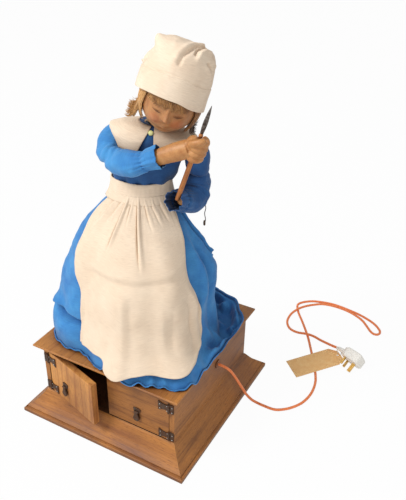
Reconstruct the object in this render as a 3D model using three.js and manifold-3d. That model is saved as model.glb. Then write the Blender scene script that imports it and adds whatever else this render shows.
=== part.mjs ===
// An automaton doll: a dressed figure that stands on a wooden cabinet with a motor and cams inside.
// Millimetres, +Z up. The origin is the centre of the cabinet's underside, and the doors face -Y.
import * as THREE from 'three';
import { mergeVertices } from 'three/addons/utils/BufferGeometryUtils.js';
import Module from 'manifold-3d';

const wasm = await Module();
wasm.setup();

// Driving dimensions of the cabinet
const plinthSide = 400;
const plinthHeight = 52;
const carcassSide = 318;
const carcassHeight = 161;
const panelThickness = 11;
const backThickness = 9;
const floorThickness = 10;
const topSide = 347;
const topThickness = 16;
const doorThickness = 14;
const doorAjar = THREE.MathUtils.degToRad(16.3);

// Driving dimensions of the figure
const figureTurn = THREE.MathUtils.degToRad(22);
const waistHeight = 525;
const waistWidth = 107;
const waistDepth = 68;
const torsoHeight = 116;
const neckHeight = waistHeight + torsoHeight;
const hemReach = 195;
const clothThickness = 3;
const headWidth = 100;
const headDepth = 98;
const headHeight = 110;

// Driving dimensions of the cord
const cordDiameter = 6;

// Clearances
const seatGap = 0.3;
const runningGap = 0.25;
const overrun = 2;
const weldLength = 0.0001;

const UP = new THREE.Vector3(0, 0, 1);
const vector = (x, y, z) => new THREE.Vector3(x, y, z);
const halfTurn = Math.PI;
const quarterTurn = Math.PI / 2;
const fullTurn = Math.PI * 2;

// Materials
const finish = (color, roughness, metalness = 0) =>
  new THREE.MeshStandardMaterial({ color, roughness, metalness, flatShading: true });
const pine = finish(0xb9814e, 0.55);
const darkPine = finish(0x96683f, 0.6);
const carvedWood = finish(0xc49a6a, 0.7);
const darkIron = finish(0x4d4038, 0.5, 0.8);
const steel = finish(0x9a9a98, 0.35, 0.9);
const brass = finish(0xb08d4a, 0.35, 0.9);
const motorPaint = finish(0x4a4f4a, 0.5, 0.3);
const blueCotton = finish(0x2f79c4, 0.9);
const creamCotton = finish(0xe6d6bf, 0.9);
const paintedSkin = finish(0xb98355, 0.6);
const brownHair = finish(0xa9763a, 0.85);
const stickWood = finish(0xb27440, 0.5);
const paleButton = finish(0xd8d49a, 0.4);
const orangeCord = finish(0xe0632c, 0.45);
const whitePlastic = finish(0xece9e2, 0.4);
const manila = finish(0xc9a06c, 0.85);
const twine = finish(0x5a4a3a, 0.9);

// Solids
function toSolid(geometry) {
  const bare = geometry.clone();
  bare.deleteAttribute('normal');
  bare.deleteAttribute('uv');
  const merged = mergeVertices(bare, weldLength);
  return new wasm.Manifold(new wasm.Mesh({
    numProp: 3,
    vertProperties: new Float32Array(merged.attributes.position.array),
    triVerts: new Uint32Array(merged.index.array),
  }));
}

function toGeometry(solid) {
  const mesh = solid.getMesh();
  const geometry = new THREE.BufferGeometry();
  geometry.setAttribute('position', new THREE.BufferAttribute(new Float32Array(mesh.vertProperties), 3));
  geometry.setIndex(new THREE.BufferAttribute(new Uint32Array(mesh.triVerts), 1));
  return geometry;
}

function join(...geometries) {
  return toGeometry(geometries.map(toSolid).reduce((whole, next) => whole.add(next)));
}

function cut(geometry, ...tools) {
  return toGeometry(tools.map(toSolid).reduce((whole, tool) => whole.subtract(tool), toSolid(geometry)));
}

function common(a, b) {
  return toGeometry(toSolid(a).intersect(toSolid(b)));
}

// Rings of equal count become a closed skin. Open lofts are capped, and looped ones join last to first.
function loft(rings, looped = false) {
  const count = rings[0].length;
  const positions = [];
  const faces = [];
  for (const ring of rings) {
    for (const point of ring) positions.push(point.x, point.y, point.z);
  }
  const bands = looped ? rings.length : rings.length - 1;
  for (let i = 0; i < bands; i += 1) {
    const low = i * count;
    const high = ((i + 1) % rings.length) * count;
    for (let j = 0; j < count; j += 1) {
      const next = (j + 1) % count;
      faces.push(low + j, low + next, high + next, low + j, high + next, high + j);
    }
  }
  if (!looped) {
    for (const [ring, flip] of [[0, true], [rings.length - 1, false]]) {
      const centre = new THREE.Vector3();
      for (const point of rings[ring]) centre.addScaledVector(point, 1 / count);
      const hub = positions.length / 3;
      positions.push(centre.x, centre.y, centre.z);
      for (let j = 0; j < count; j += 1) {
        const a = ring * count + j;
        const b = ring * count + ((j + 1) % count);
        faces.push(...(flip ? [hub, b, a] : [hub, a, b]));
      }
    }
  }
  const geometry = new THREE.BufferGeometry();
  geometry.setAttribute('position', new THREE.Float32BufferAttribute(positions, 3));
  geometry.setIndex(signedVolume(positions, faces) < 0 ? faces.reverse() : faces);
  return geometry;
}

// A sheet over a grid of columns and levels: pointAt gives its outer and its inner skin
function sheetLoft(columns, levels, pointAt) {
  return loft(Array.from({ length: columns + 1 }, (_, i) => {
    const part = i / columns;
    return [
      ...levels.map((level) => pointAt(part, level, true)),
      ...[...levels].reverse().map((level) => pointAt(part, level, false)),
    ];
  }));
}

function signedVolume(positions, faces) {
  const corner = (i) => vector(positions[3 * i], positions[3 * i + 1], positions[3 * i + 2]);
  let sum = 0;
  for (let i = 0; i < faces.length; i += 3) {
    sum += corner(faces[i]).dot(corner(faces[i + 1]).cross(corner(faces[i + 2])));
  }
  return sum;
}

function block([x0, x1], [y0, y1], [z0, z1]) {
  const geometry = new THREE.BoxGeometry(x1 - x0, y1 - y0, z1 - z0);
  return geometry.translate((x0 + x1) / 2, (y0 + y1) / 2, (z0 + z1) / 2);
}

function bar(from, to, radius, sides = 16, endRadius = radius) {
  const along = to.clone().sub(from);
  const geometry = new THREE.CylinderGeometry(endRadius, radius, along.length(), sides);
  const turn = new THREE.Quaternion().setFromUnitVectors(vector(0, 1, 0), along.clone().normalize());
  geometry.applyQuaternion(turn);
  const middle = from.clone().add(to).multiplyScalar(1 / 2);
  return geometry.translate(middle.x, middle.y, middle.z);
}

// A turned piece: its profile of [radius, height] pairs starts and ends on the axis.
function turned(profile, sides) {
  const points = profile.map(([radius, height]) => new THREE.Vector2(radius, height));
  return new THREE.LatheGeometry(points, sides).rotateX(quarterTurn);
}

// A flat shape in X and Z, thickened towards -Y, with a small chamfer round its edges.
function plate(shape, thickness, chamfer, segments = 8) {
  const geometry = new THREE.ExtrudeGeometry(shape, {
    depth: thickness - 2 * chamfer,
    bevelEnabled: true,
    bevelThickness: chamfer,
    bevelSize: chamfer,
    bevelOffset: -chamfer,
    bevelSegments: 1,
    curveSegments: segments,
  });
  return geometry.translate(0, 0, chamfer).rotateX(quarterTurn);
}

function rectangle(width, height) {
  const shape = new THREE.Shape();
  shape.moveTo(0, 0);
  shape.lineTo(width, 0);
  shape.lineTo(width, height);
  shape.lineTo(0, height);
  return shape;
}

function around(x, y, radius, sides) {
  return Array.from({ length: sides }, (_, i) => {
    const angle = (fullTurn * i) / sides;
    return new THREE.Vector2(x + radius * Math.cos(angle), y + radius * Math.sin(angle));
  });
}
const roundHole = (x, y, radius, sides) => new THREE.Path(around(x, y, radius, sides));

function tube(points, radius, sides, steps) {
  const extrudePath = new THREE.CatmullRomCurve3(points, false, 'centripetal');
  const outline = new THREE.Shape(around(0, 0, radius, sides));
  return new THREE.ExtrudeGeometry(outline, { steps, extrudePath, bevelEnabled: false });
}

function place(group, name, geometry, material) {
  const mesh = new THREE.Mesh(geometry, material);
  mesh.name = name;
  group.add(mesh);
  return mesh;
}

const doll = new THREE.Group();
const carcassHalf = carcassSide / 2;

// Cabinet: mitred plinth mouldings
function mitredMoulding() {
  const reach = (plinthSide - carcassSide) / 2;
  const edgeHeight = 7.5;
  const ledgeHeight = 10;
  const ledgeDepth = 6;
  const lipRise = 2.5;
  const arris = 1.5;
  const hollow = 4;
  const slopeShares = [0.25, 0.5, 0.75];
  const mitreGap = 0.2;
  const crownLip = 3;
  const slopeFoot = { out: reach - ledgeDepth, up: ledgeHeight + lipRise };
  const crown = { out: crownLip, up: plinthHeight - crownLip };
  const slope = slopeShares.map((share) => [
    slopeFoot.out + (crown.out - slopeFoot.out) * share,
    slopeFoot.up + (crown.up - slopeFoot.up) * share - hollow * Math.sin(Math.PI * share),
  ]);
  const profile = [
    [0, 0],
    [reach, 0],
    [reach, edgeHeight],
    [reach - arris, edgeHeight + arris],
    [slopeFoot.out, ledgeHeight],
    [slopeFoot.out, slopeFoot.up],
    ...slope,
    [crown.out, crown.up],
    [0, plinthHeight],
  ];
  const end = (side) => profile.map(([out, up]) =>
    vector(side * (carcassHalf + out - mitreGap), -carcassHalf - out, up));
  return loft([end(-1), end(1)]);
}

for (const [index, side] of ['front', 'right', 'back', 'left'].entries()) {
  place(doll, `plinth_${side}`, mitredMoulding(), pine).rotation.z = index * quarterTurn;
}

// Cabinet: panels
const innerHalf = carcassHalf - panelThickness;
const backFace = carcassHalf - backThickness;
const floorTop = plinthHeight;
const bush = { y: 20, z: 123, neckRadius: 6, flangeRadius: 9.5, flangeThickness: 2.5, noseThickness: 4 };
const sidePanel = block([innerHalf, carcassHalf], [-carcassHalf, carcassHalf], [0, carcassHeight]);
const bushHole = bar(
  vector(innerHalf - overrun, bush.y, bush.z),
  vector(carcassHalf + overrun, bush.y, bush.z),
  bush.neckRadius + seatGap,
);
place(doll, 'side_panel_right', cut(sidePanel, bushHole), darkPine);
const leftPanel = block([-carcassHalf, -innerHalf], [-carcassHalf, carcassHalf], [0, carcassHeight]);
const backPanel = block([-innerHalf, innerHalf], [backFace, carcassHalf], [0, carcassHeight]);
const floorPanel = block([-innerHalf, innerHalf], [-carcassHalf, backFace], [floorTop - floorThickness, floorTop]);
place(doll, 'side_panel_left', leftPanel, darkPine);
place(doll, 'back_panel', backPanel, darkPine);
place(doll, 'floor_panel', floorPanel, darkPine);

// Mechanism layout: one camshaft along X lifts two push rods that rise through the top into the figure
const rodRadius = 2.2;
const shaft = { y: -9, z: 103, radius: 4, from: -64, to: 60 };
const armRodX = 18;
const headRodX = 36;
const boardTop = carcassHeight + topThickness;
const cam = { radius: 15, width: 9, armLift: 0.55, headLift: 1.4 };
const gear = { module: 1.25, wheelTeeth: 38, pinionTeeth: 10, width: 6, x: -42, clearance: 0.25 };

// Places in the figure's own frame, which is turned about Z
const toFigure = (x, y, z) => vector(x, y, z).applyAxisAngle(UP, -figureTurn);
const post = { x: -4, y: -10, radius: 10, flangeRadius: 15, flangeThickness: 7, flangeEdgeShare: 0.7, fillet: 1 };

function rodBore(x, from, to, radius = rodRadius + runningGap) {
  return bar(vector(x, shaft.y, from), vector(x, shaft.y, to), radius, 12);
}

// Cabinet: top board with a lip over a hollow
function topBoard() {
  const half = topSide / 2;
  const lip = 4;
  const arris = 1;
  const foot = 3.5;
  const coveShares = [[0, 0], [0.12, 0.45], [0.45, 0.85], [1, 1]];
  const coveOut = half - carcassHalf - foot;
  const coveUp = topThickness - lip;
  const profile = coveShares.map(([out, up]) => [
    carcassHalf + foot + coveOut * out,
    carcassHeight + coveUp * up,
  ]);
  profile.push([half, boardTop - arris], [half - arris, boardTop]);
  const rings = profile.map(([out, up]) => [
    vector(-out, -out, up), vector(out, -out, up), vector(out, out, up), vector(-out, out, up),
  ]);
  return cut(
    loft(rings),
    rodBore(armRodX, carcassHeight - overrun, boardTop + overrun),
    rodBore(headRodX, carcassHeight - overrun, boardTop + overrun),
  );
}
place(doll, 'top_board', topBoard(), pine);

// Doors, hinges and drop pulls
const doorSideGap = 1;
const doorMiddleGap = 2;
const doorHeightGap = 2;
const doorChamfer = 1;
const doorWidth = innerHalf - doorSideGap - doorMiddleGap / 2;
const doorFoot = plinthHeight + doorHeightGap;
const doorHeight = carcassHeight - doorHeightGap - doorFoot;
const doorFace = -carcassHalf;
const leaf = {
  height: 22, thickness: 1.6, doorWidth: 24, frameWidth: 10.4, footInset: 2, topInset: 7,
  waistShare: 0.5, bowShare: 0.6,
};
const knuckle = { radius: 2.4, pinRadius: 1, bore: 1.3, length: 8, sides: 8 };
const hingeAxis = { x: innerHalf - doorSideGap / 2, y: doorFace - seatGap - knuckle.radius };
const hingeFoot = {
  upper: doorFoot + doorHeight - leaf.topInset - leaf.height,
  lower: doorFoot + leaf.footInset,
};

// Hinge leaves are drawn about the pin's axis for the right door, and mirrored for the left one
function hingeLeaf(side, foot, isDoorLeaf) {
  const back = knuckle.radius;
  const front = back - leaf.thickness;
  const middle = foot + leaf.height / 2;
  const midLow = middle - knuckle.length / 2;
  const midHigh = middle + knuckle.length / 2;
  const top = foot + leaf.height;
  const outward = isDoorLeaf ? -1 : 1;
  const span = isDoorLeaf ? leaf.doorWidth : leaf.frameWidth;
  const reachFrom = knuckle.radius + runningGap * 2;
  const sheet = (near, far, low, high) => {
    const [a, b] = [side * outward * near, side * outward * far].sort((p, q) => p - q);
    return block([a, b], [front, back], [low, high]);
  };
  const pinAt = (z) => vector(0, 0, z);
  // The door's leaf narrows towards its knuckle, like a dovetail
  const dovetail = () => {
    const half = leaf.height / 2;
    const between = (reachFrom + span) / 2;
    const edge = [[reachFrom, half * leaf.waistShare], [between, half * leaf.bowShare], [span, half]];
    const outline = [...edge.map(([x, up]) => [x, middle - up]), ...edge.reverse().map(([x, up]) => [x, middle + up])];
    const shape = new THREE.Shape(outline.map(([x, z]) => new THREE.Vector2(side * outward * x, z)));
    return new THREE.ExtrudeGeometry(shape, { depth: leaf.thickness, bevelEnabled: false })
      .rotateX(quarterTurn).translate(0, back, 0);
  };
  if (isDoorLeaf) {
    const body = join(
      dovetail(),
      sheet(knuckle.pinRadius, reachFrom + overrun, midLow + seatGap, midHigh - seatGap),
      bar(pinAt(midLow + seatGap), pinAt(midHigh - seatGap), knuckle.radius, knuckle.sides),
    );
    return cut(body, bar(pinAt(foot), pinAt(top), knuckle.bore, knuckle.sides));
  }
  return join(
    sheet(reachFrom, span, foot, top),
    sheet(knuckle.pinRadius, reachFrom + overrun, foot, midLow),
    sheet(knuckle.pinRadius, reachFrom + overrun, midHigh, top),
    bar(pinAt(foot), pinAt(midLow), knuckle.radius, knuckle.sides),
    bar(pinAt(midHigh), pinAt(top), knuckle.radius, knuckle.sides),
    bar(pinAt(midLow - seatGap), pinAt(midHigh + seatGap), knuckle.pinRadius, knuckle.sides),
  );
}

// Each pull is a small plate with two ears, and a pear drop that swings on the pin between them
const pull = {
  leftInset: 54, rightInset: 75, pivotHeight: 97, plateWidth: 17, plateHeight: 15, plateThickness: 1.6, earRadius: 2.2,
  earThickness: 1.6, eyeLength: 6, standOff: 4.2, pinRadius: 0.9, bore: 1.15, dropLength: 25,
  dropWidth: 15, dropThickness: 3.6, chamfer: 0.7, sides: 8, curveSteps: 3,
};

function pullPlate() {
  const half = pull.plateWidth / 2;
  const shape = new THREE.Shape();
  shape.moveTo(-half, pull.plateHeight / 2);
  shape.quadraticCurveTo(0, pull.plateHeight * 0.72, half, pull.plateHeight / 2);
  shape.quadraticCurveTo(half, -pull.plateHeight / 4, 0, -pull.plateHeight / 2);
  shape.quadraticCurveTo(-half, -pull.plateHeight / 4, -half, pull.plateHeight / 2);
  const backing = plate(shape, pull.plateThickness, pull.chamfer / 2, pull.curveSteps).translate(0, -seatGap, 0);
  const inner = pull.eyeLength / 2 + seatGap;
  const outer = inner + pull.earThickness;
  const ear = (side) => join(
    bar(vector(side * inner, -pull.standOff, 0), vector(side * outer, -pull.standOff, 0), pull.earRadius,
      pull.sides),
    block([side * inner, side * outer].sort((a, b) => a - b), [-pull.standOff, -seatGap - pull.plateThickness / 2],
      [-pull.earRadius, pull.earRadius]),
  );
  const pin = bar(vector(-outer, -pull.standOff, 0), vector(outer, -pull.standOff, 0), pull.pinRadius, pull.sides);
  return join(backing, ear(-1), ear(1), pin);
}

function pullDrop() {
  const half = pull.dropWidth / 2;
  const neck = pull.eyeLength / 2;
  const shape = new THREE.Shape();
  shape.moveTo(-neck, -pull.earRadius / 2);
  shape.bezierCurveTo(-neck, -pull.dropLength / 3, -half, -pull.dropLength / 2, -half, -pull.dropLength * 0.7);
  shape.bezierCurveTo(-half, -pull.dropLength, half, -pull.dropLength, half, -pull.dropLength * 0.7);
  shape.bezierCurveTo(half, -pull.dropLength / 2, neck, -pull.dropLength / 3, neck, -pull.earRadius / 2);
  const drop = plate(shape, pull.dropThickness, pull.chamfer, pull.curveSteps)
    .translate(0, -pull.standOff + pull.dropThickness / 2, 0);
  const eye = bar(vector(-neck, -pull.standOff, 0), vector(neck, -pull.standOff, 0), pull.earRadius, pull.sides);
  const bore = bar(vector(-pull.eyeLength, -pull.standOff, 0), vector(pull.eyeLength, -pull.standOff, 0),
    pull.bore, pull.sides);
  return cut(join(drop, eye), bore);
}

for (const [name, side, inset] of [['left', -1, pull.leftInset], ['right', 1, pull.rightInset]]) {
  const swing = new THREE.Group();
  swing.position.set(side * hingeAxis.x, hingeAxis.y, 0);
  swing.rotation.z = side < 0 ? -doorAjar : 0;
  doll.add(swing);
  const nearEdge = doorSideGap / 2;
  const low = side < 0 ? nearEdge : -nearEdge - doorWidth;
  const board = plate(rectangle(doorWidth, doorHeight), doorThickness, doorChamfer);
  place(swing, `door_${name}`, board, pine).position.set(low, doorFace - hingeAxis.y + doorThickness, doorFoot);
  for (const [level, foot] of Object.entries(hingeFoot)) {
    place(swing, `door_leaf_${name}_${level}`, hingeLeaf(side, foot, true), darkIron);
    place(doll, `frame_leaf_${name}_${level}`, hingeLeaf(side, foot, false), darkIron)
      .position.set(side * hingeAxis.x, hingeAxis.y, 0);
  }
  const pivot = vector(-side * inset, doorFace - hingeAxis.y, pull.pivotHeight);
  place(swing, `pull_plate_${name}`, pullPlate(), darkIron).position.copy(pivot);
  place(swing, `drop_pull_${name}`, pullDrop(), darkIron).position.copy(pivot);
}

// Gears: straight teeth with sloping flanks, each wheel cut from one outline
function gearOutline(teeth, boreRadius) {
  const pitchRadius = (gear.module * teeth) / 2;
  const tip = pitchRadius + gear.module;
  const root = pitchRadius - gear.module * 1.25;
  const pitch = fullTurn / teeth;
  const flankShares = [[-0.37, root], [-0.11, tip], [0.11, tip], [0.37, root]];
  const points = [];
  for (let tooth = 0; tooth < teeth; tooth += 1) {
    for (const [share, radius] of flankShares) {
      const angle = (tooth + share * (1 - gear.clearance / 2)) * pitch;
      points.push(new THREE.Vector2(radius * Math.cos(angle), radius * Math.sin(angle)));
    }
  }
  const shape = new THREE.Shape(points);
  if (boreRadius > 0) shape.holes.push(roundHole(0, 0, boreRadius, 20));
  return shape;
}

function gearBlank(teeth, boreRadius, webHoles) {
  const shape = gearOutline(teeth, boreRadius);
  for (let i = 0; i < webHoles; i += 1) {
    const pitchRadius = (gear.module * teeth) / 2;
    const angle = (fullTurn * (i + 1 / 2)) / webHoles;
    const ring = pitchRadius * 0.58;
    shape.holes.push(roundHole(ring * Math.cos(angle), ring * Math.sin(angle), pitchRadius * 0.2, 10));
  }
  const geometry = new THREE.ExtrudeGeometry(shape, { depth: gear.width, bevelEnabled: false, curveSegments: 4 });
  return geometry.translate(0, 0, -gear.width / 2).rotateY(quarterTurn);
}

const gearDistance = (gear.module * (gear.wheelTeeth + gear.pinionTeeth)) / 2;
const motorSet = THREE.MathUtils.degToRad(30);
const motor = {
  y: shaft.y + gearDistance * Math.cos(motorSet),
  z: shaft.z - gearDistance * Math.sin(motorSet),
  radius: 26, from: -126, to: -70, capRadius: 12, capLength: 4, footWidth: 44, footThickness: 4,
  shaftRadius: 3, shaftDepth: 12, ribDepth: 2, ribs: 10,
};

// The wheel turns by half a tooth so that a tooth gap faces the pinion
const wheel = place(doll, 'drive_gear', gearBlank(gear.wheelTeeth, shaft.radius + seatGap / 2, 5), brass);
wheel.position.set(gear.x, shaft.y, shaft.z);
const meshAngle = Math.atan2(motor.z - shaft.z, motor.y - shaft.y);
const wheelPitch = fullTurn / gear.wheelTeeth;
const pinionPitch = fullTurn / gear.pinionTeeth;
// In the gear's outline frame, angle 0 lies along -Z of the cabinet, and angles run towards +Y
const outlineAngle = meshAngle + quarterTurn;
wheel.rotation.x = (outlineAngle / wheelPitch - Math.floor(outlineAngle / wheelPitch) + 1 / 2) * wheelPitch;
const pinionAngle = outlineAngle + halfTurn;
const pinionTurn = (pinionAngle / pinionPitch - Math.floor(pinionAngle / pinionPitch)) * pinionPitch;

function motorBody() {
  const points = [];
  for (let i = 0; i < motor.ribs * 2; i += 1) {
    for (const share of [-0.45, 0.45]) {
      const angle = (fullTurn * (i + share)) / (motor.ribs * 2);
      const radius = motor.radius - (i % 2) * motor.ribDepth;
      points.push(new THREE.Vector2(radius * Math.cos(angle), radius * Math.sin(angle)));
    }
  }
  const length = motor.to - motor.from;
  const barrel = new THREE.ExtrudeGeometry(new THREE.Shape(points), { depth: length, bevelEnabled: false })
    .rotateY(quarterTurn).translate(motor.from, motor.y, motor.z);
  const middle = (motor.from + motor.to) / 2;
  const saddle = block([motor.from + motor.capLength, motor.to - motor.capLength],
    [motor.y - motor.footWidth / 4, motor.y + motor.footWidth / 4],
    [floorTop, motor.z - motor.radius + motor.ribDepth * 2]);
  const foot = block([middle - motor.footWidth / 2, middle + motor.footWidth / 2],
    [motor.y - motor.footWidth / 2, motor.y + motor.footWidth / 2], [floorTop, floorTop + motor.footThickness]);
  const cap = bar(vector(motor.to - overrun, motor.y, motor.z),
    vector(motor.to + motor.capLength, motor.y, motor.z), motor.capRadius);
  const bore = bar(vector(motor.to - motor.shaftDepth, motor.y, motor.z),
    vector(motor.to + motor.capLength + overrun, motor.y, motor.z), motor.shaftRadius + runningGap);
  return cut(join(barrel, saddle, foot, cap), bore);
}
place(doll, 'motor', motorBody(), motorPaint);

function motorPinion() {
  const spindle = bar(vector(motor.to - motor.shaftDepth + seatGap * 2, 0, 0), vector(gear.x + gear.width, 0, 0),
    motor.shaftRadius);
  const teeth = gearBlank(gear.pinionTeeth, 0, 0).rotateX(pinionTurn).translate(gear.x, 0, 0);
  return join(spindle, teeth);
}
place(doll, 'motor_pinion', motorPinion(), steel).position.set(0, motor.y, motor.z);

function camDisc(x, lift) {
  return bar(vector(x - cam.width / 2, 0, lift), vector(x + cam.width / 2, 0, lift), cam.radius - lift, 20);
}

function camshaft() {
  const spindle = bar(vector(shaft.from, 0, 0), vector(shaft.to, 0, 0), shaft.radius, 20);
  const collar = (x) => bar(vector(x - cam.width / 2, 0, 0), vector(x + cam.width / 2, 0, 0), shaft.radius * 1.8);
  const middle = (armRodX + headRodX) / 2;
  return join(spindle, camDisc(armRodX, cam.armLift), camDisc(headRodX, cam.headLift), collar(middle));
}
place(doll, 'camshaft', camshaft(), steel).position.set(0, shaft.y, shaft.z);

const bearing = { thickness: 8, width: 26, head: 10, leftX: -56, rightX: 54, footWidth: 44, footThickness: 5 };

function bearingBlock(x) {
  const shape = new THREE.Shape();
  const half = bearing.width / 2;
  const foot = bearing.footWidth / 2;
  const rise = shaft.z - floorTop;
  shape.moveTo(-foot, 0);
  shape.lineTo(foot, 0);
  shape.lineTo(foot, bearing.footThickness);
  shape.lineTo(half, bearing.footThickness);
  shape.lineTo(bearing.head, rise);
  shape.absarc(0, rise, bearing.head, 0, Math.PI, false);
  shape.lineTo(-half, bearing.footThickness);
  shape.lineTo(-foot, bearing.footThickness);
  shape.holes.push(roundHole(0, rise, shaft.radius + runningGap, 20));
  const geometry = new THREE.ExtrudeGeometry(shape, {
    depth: bearing.thickness, bevelEnabled: false, curveSegments: 12,
  });
  return geometry.rotateX(quarterTurn).rotateZ(quarterTurn)
    .translate(x - bearing.thickness / 2, shaft.y, floorTop);
}
place(doll, 'bearing_left', bearingBlock(bearing.leftX), carvedWood);
place(doll, 'bearing_right', bearingBlock(bearing.rightX), carvedWood);

// Cord bush in the right panel, and the lead inside from it to the motor
function cordBush() {
  const inner = innerHalf - bush.noseThickness;
  const body = join(
    bar(vector(inner, 0, 0), vector(carcassHalf + seatGap + bush.flangeThickness, 0, 0), bush.neckRadius),
    bar(vector(carcassHalf + seatGap, 0, 0), vector(carcassHalf + seatGap + bush.flangeThickness, 0, 0),
      bush.flangeRadius, 20),
  );
  return body.translate(0, bush.y, bush.z);
}
place(doll, 'cord_bush', cordBush(), whitePlastic);

const leadClear = 12;
const motorLead = tube([
  vector(innerHalf - bush.noseThickness - seatGap, bush.y, bush.z),
  vector(innerHalf - bush.noseThickness - cordDiameter, bush.y, bush.z),
  vector(innerHalf - bush.noseThickness - cordDiameter * 3, bush.y + leadClear, bush.z),
  vector(innerHalf / 2, backFace - leadClear * 2, bush.z - leadClear),
  vector(0, backFace - leadClear, shaft.z),
  vector(-innerHalf / 2, backFace - leadClear, motor.z),
  vector(motor.from - leadClear, (backFace + motor.y) / 2, motor.z),
  vector(motor.from - cordDiameter, motor.y, motor.z),
  vector(motor.from - seatGap, motor.y, motor.z),
], cordDiameter / 2, 8, 22);
place(doll, 'motor_lead', motorLead, orangeCord);

// Mains cord: its places on the floor are chosen by hand from the photographed route
const cordSeat = 0.5;
const cordLie = cordDiameter / 2 + cordSeat;
const cordStart = carcassHalf + seatGap + bush.flangeThickness + seatGap;
const cordRoute = [
  [cordStart, 20, 123], [168, 20, 122.4], [179, 26, 112], [191, 44, 76], [204, 61, 38], [218, 70, 14],
  [234, 72, cordLie], [249, 71, cordLie], [280, 72.5, cordLie], [299, 85, cordLie], [315, 104, cordLie],
  [326, 126, cordLie], [332, 161, cordLie], [328, 199, cordLie], [319, 225, cordLie], [298.5, 267, cordLie],
  [277, 307, cordLie], [250, 355, cordLie], [217, 404, cordLie], [189, 444, cordLie], [178, 474, cordLie],
  [200, 503, cordLie], [232, 519, cordLie], [267, 525, cordLie], [311.5, 521, cordLie], [347, 513, cordLie],
  [381, 497, cordLie], [404, 474, cordLie], [410, 456, cordLie], [401, 447, cordLie], [378, 459, cordLie],
  [350, 485, cordLie], [314, 504, cordLie], [269, 512, cordLie], [236, 505, cordLie], [216, 490, cordLie + 1],
  [201, 468, cordLie + 5], [189, 444, cordLie + 7], [179, 416, cordLie + 3], [182, 384, cordLie],
  [199, 361, cordLie], [222, 352, cordLie + 3], [248, 353, cordLie + 7], [268, 349, cordLie + 10],
];
const plug = {
  entry: vector(360, 310, 29.1), turn: THREE.MathUtils.degToRad(-21.5), lean: THREE.MathUtils.degToRad(35),
  length: 50, width: 50, thickness: 24, corner: 12, chamfer: 3, entryShare: 0.4,
};
const cordEnd = [[288, 339, 17], [317.6, 326.2, 23], [342, 317, 28], [353, 312.8, 29.1], [359.7, 310.1, 29.1]];
const cordPoints = [...cordRoute, ...cordEnd].map((point) => vector(...point));
place(doll, 'mains_cord', tube(cordPoints, cordDiameter / 2, 8, 72), orangeCord);

// Plug: it lies on its edge with its three pins down
const pinSizes = {
  earth: { length: 22.7, width: 4, height: 8, u: 12, v: 0 },
  line: { length: 17.7, width: 6.4, height: 4, u: -10.2, v: 11.1 },
  neutral: { length: 17.7, width: 6.4, height: 4, u: -10.2, v: -11.1 },
};
const plugPose = new THREE.Matrix4().makeRotationFromEuler(new THREE.Euler(plug.lean, 0, plug.turn, 'ZYX'))
  .setPosition(plug.entry);

// Drawn with the cord's entry at the origin, the body along +X and the pins towards -Y
function plugBody() {
  const half = plug.width / 2;
  const shape = new THREE.Shape();
  shape.moveTo(0, -half * plug.entryShare);
  shape.lineTo(plug.corner, -half);
  shape.lineTo(plug.length - plug.corner, -half);
  shape.quadraticCurveTo(plug.length, -half, plug.length, -half + plug.corner);
  shape.lineTo(plug.length, half - plug.corner);
  shape.quadraticCurveTo(plug.length, half, plug.length - plug.corner, half);
  shape.lineTo(plug.corner, half);
  shape.lineTo(0, half * plug.entryShare);
  const body = plate(shape, plug.thickness, plug.chamfer, 4).translate(0, plug.thickness / 2, 0);
  return body.applyMatrix4(plugPose);
}
place(doll, 'plug_body', plugBody(), whitePlastic);

for (const [name, pin] of Object.entries(pinSizes)) {
  const u = plug.length / 2 + pin.u;
  const face = -plug.thickness / 2 - seatGap;
  const blade = block([u - pin.height / 2, u + pin.height / 2], [face - pin.length, face],
    [pin.v - pin.width / 2, pin.v + pin.width / 2]);
  place(doll, `plug_${name}_pin`, blade.applyMatrix4(plugPose), brass);
}

// Blank label: a card with clipped corners and an eyelet, propped on the cord
const label = {
  width: 60, length: 130, clip: 17, thickness: 0.8, hole: 2.4, eyelet: 7,
  corner: vector(260.3, 217.7, 0.9), turn: THREE.MathUtils.degToRad(46), rise: THREE.MathUtils.degToRad(6.7),
};
const labelPose = new THREE.Matrix4()
  .makeRotationFromEuler(new THREE.Euler(0, -label.rise, label.turn, 'ZYX')).setPosition(label.corner);
const eyeletPlace = vector(label.length - label.eyelet, 0, 0).applyMatrix4(labelPose);

function labelTag() {
  const half = label.width / 2;
  const shape = new THREE.Shape();
  shape.moveTo(0, -half);
  shape.lineTo(label.length - label.clip, -half);
  shape.lineTo(label.length, -half + label.clip);
  shape.lineTo(label.length, half - label.clip);
  shape.lineTo(label.length - label.clip, half);
  shape.lineTo(0, half);
  shape.holes.push(roundHole(label.length - label.eyelet, 0, label.hole, 12));
  return new THREE.ExtrudeGeometry(shape, { depth: label.thickness, bevelEnabled: false, curveSegments: 6 })
    .applyMatrix4(labelPose);
}
place(doll, 'label_tag', labelTag(), manila);

// The label's string goes round the cord, down through the eyelet and back round the label's end
const string = { radius: 0.7, clear: 1.7, sides: 8, steps: 18, knot: 3 };
function labelString() {
  const [hold, next] = cordPoints.slice(-3, -1);
  const along = next.clone().sub(hold).normalize();
  const aside = UP.clone().cross(along).normalize();
  const clear = cordDiameter / 2 + string.radius + string.clear;
  const through = label.thickness + string.radius * 4;
  const end = vector(label.length + string.radius * 3, 0, 0).applyMatrix4(labelPose);
  return tube([
    hold.clone().addScaledVector(UP, clear),
    hold.clone().addScaledVector(aside, -clear),
    eyeletPlace.clone().addScaledVector(UP, through),
    eyeletPlace.clone().addScaledVector(UP, -through),
    end,
    hold.clone().addScaledVector(aside, clear),
    hold.clone().addScaledVector(UP, clear).addScaledVector(along, string.knot),
  ], string.radius, string.sides, string.steps);
}
place(doll, 'label_string', labelString(), twine);

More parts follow.
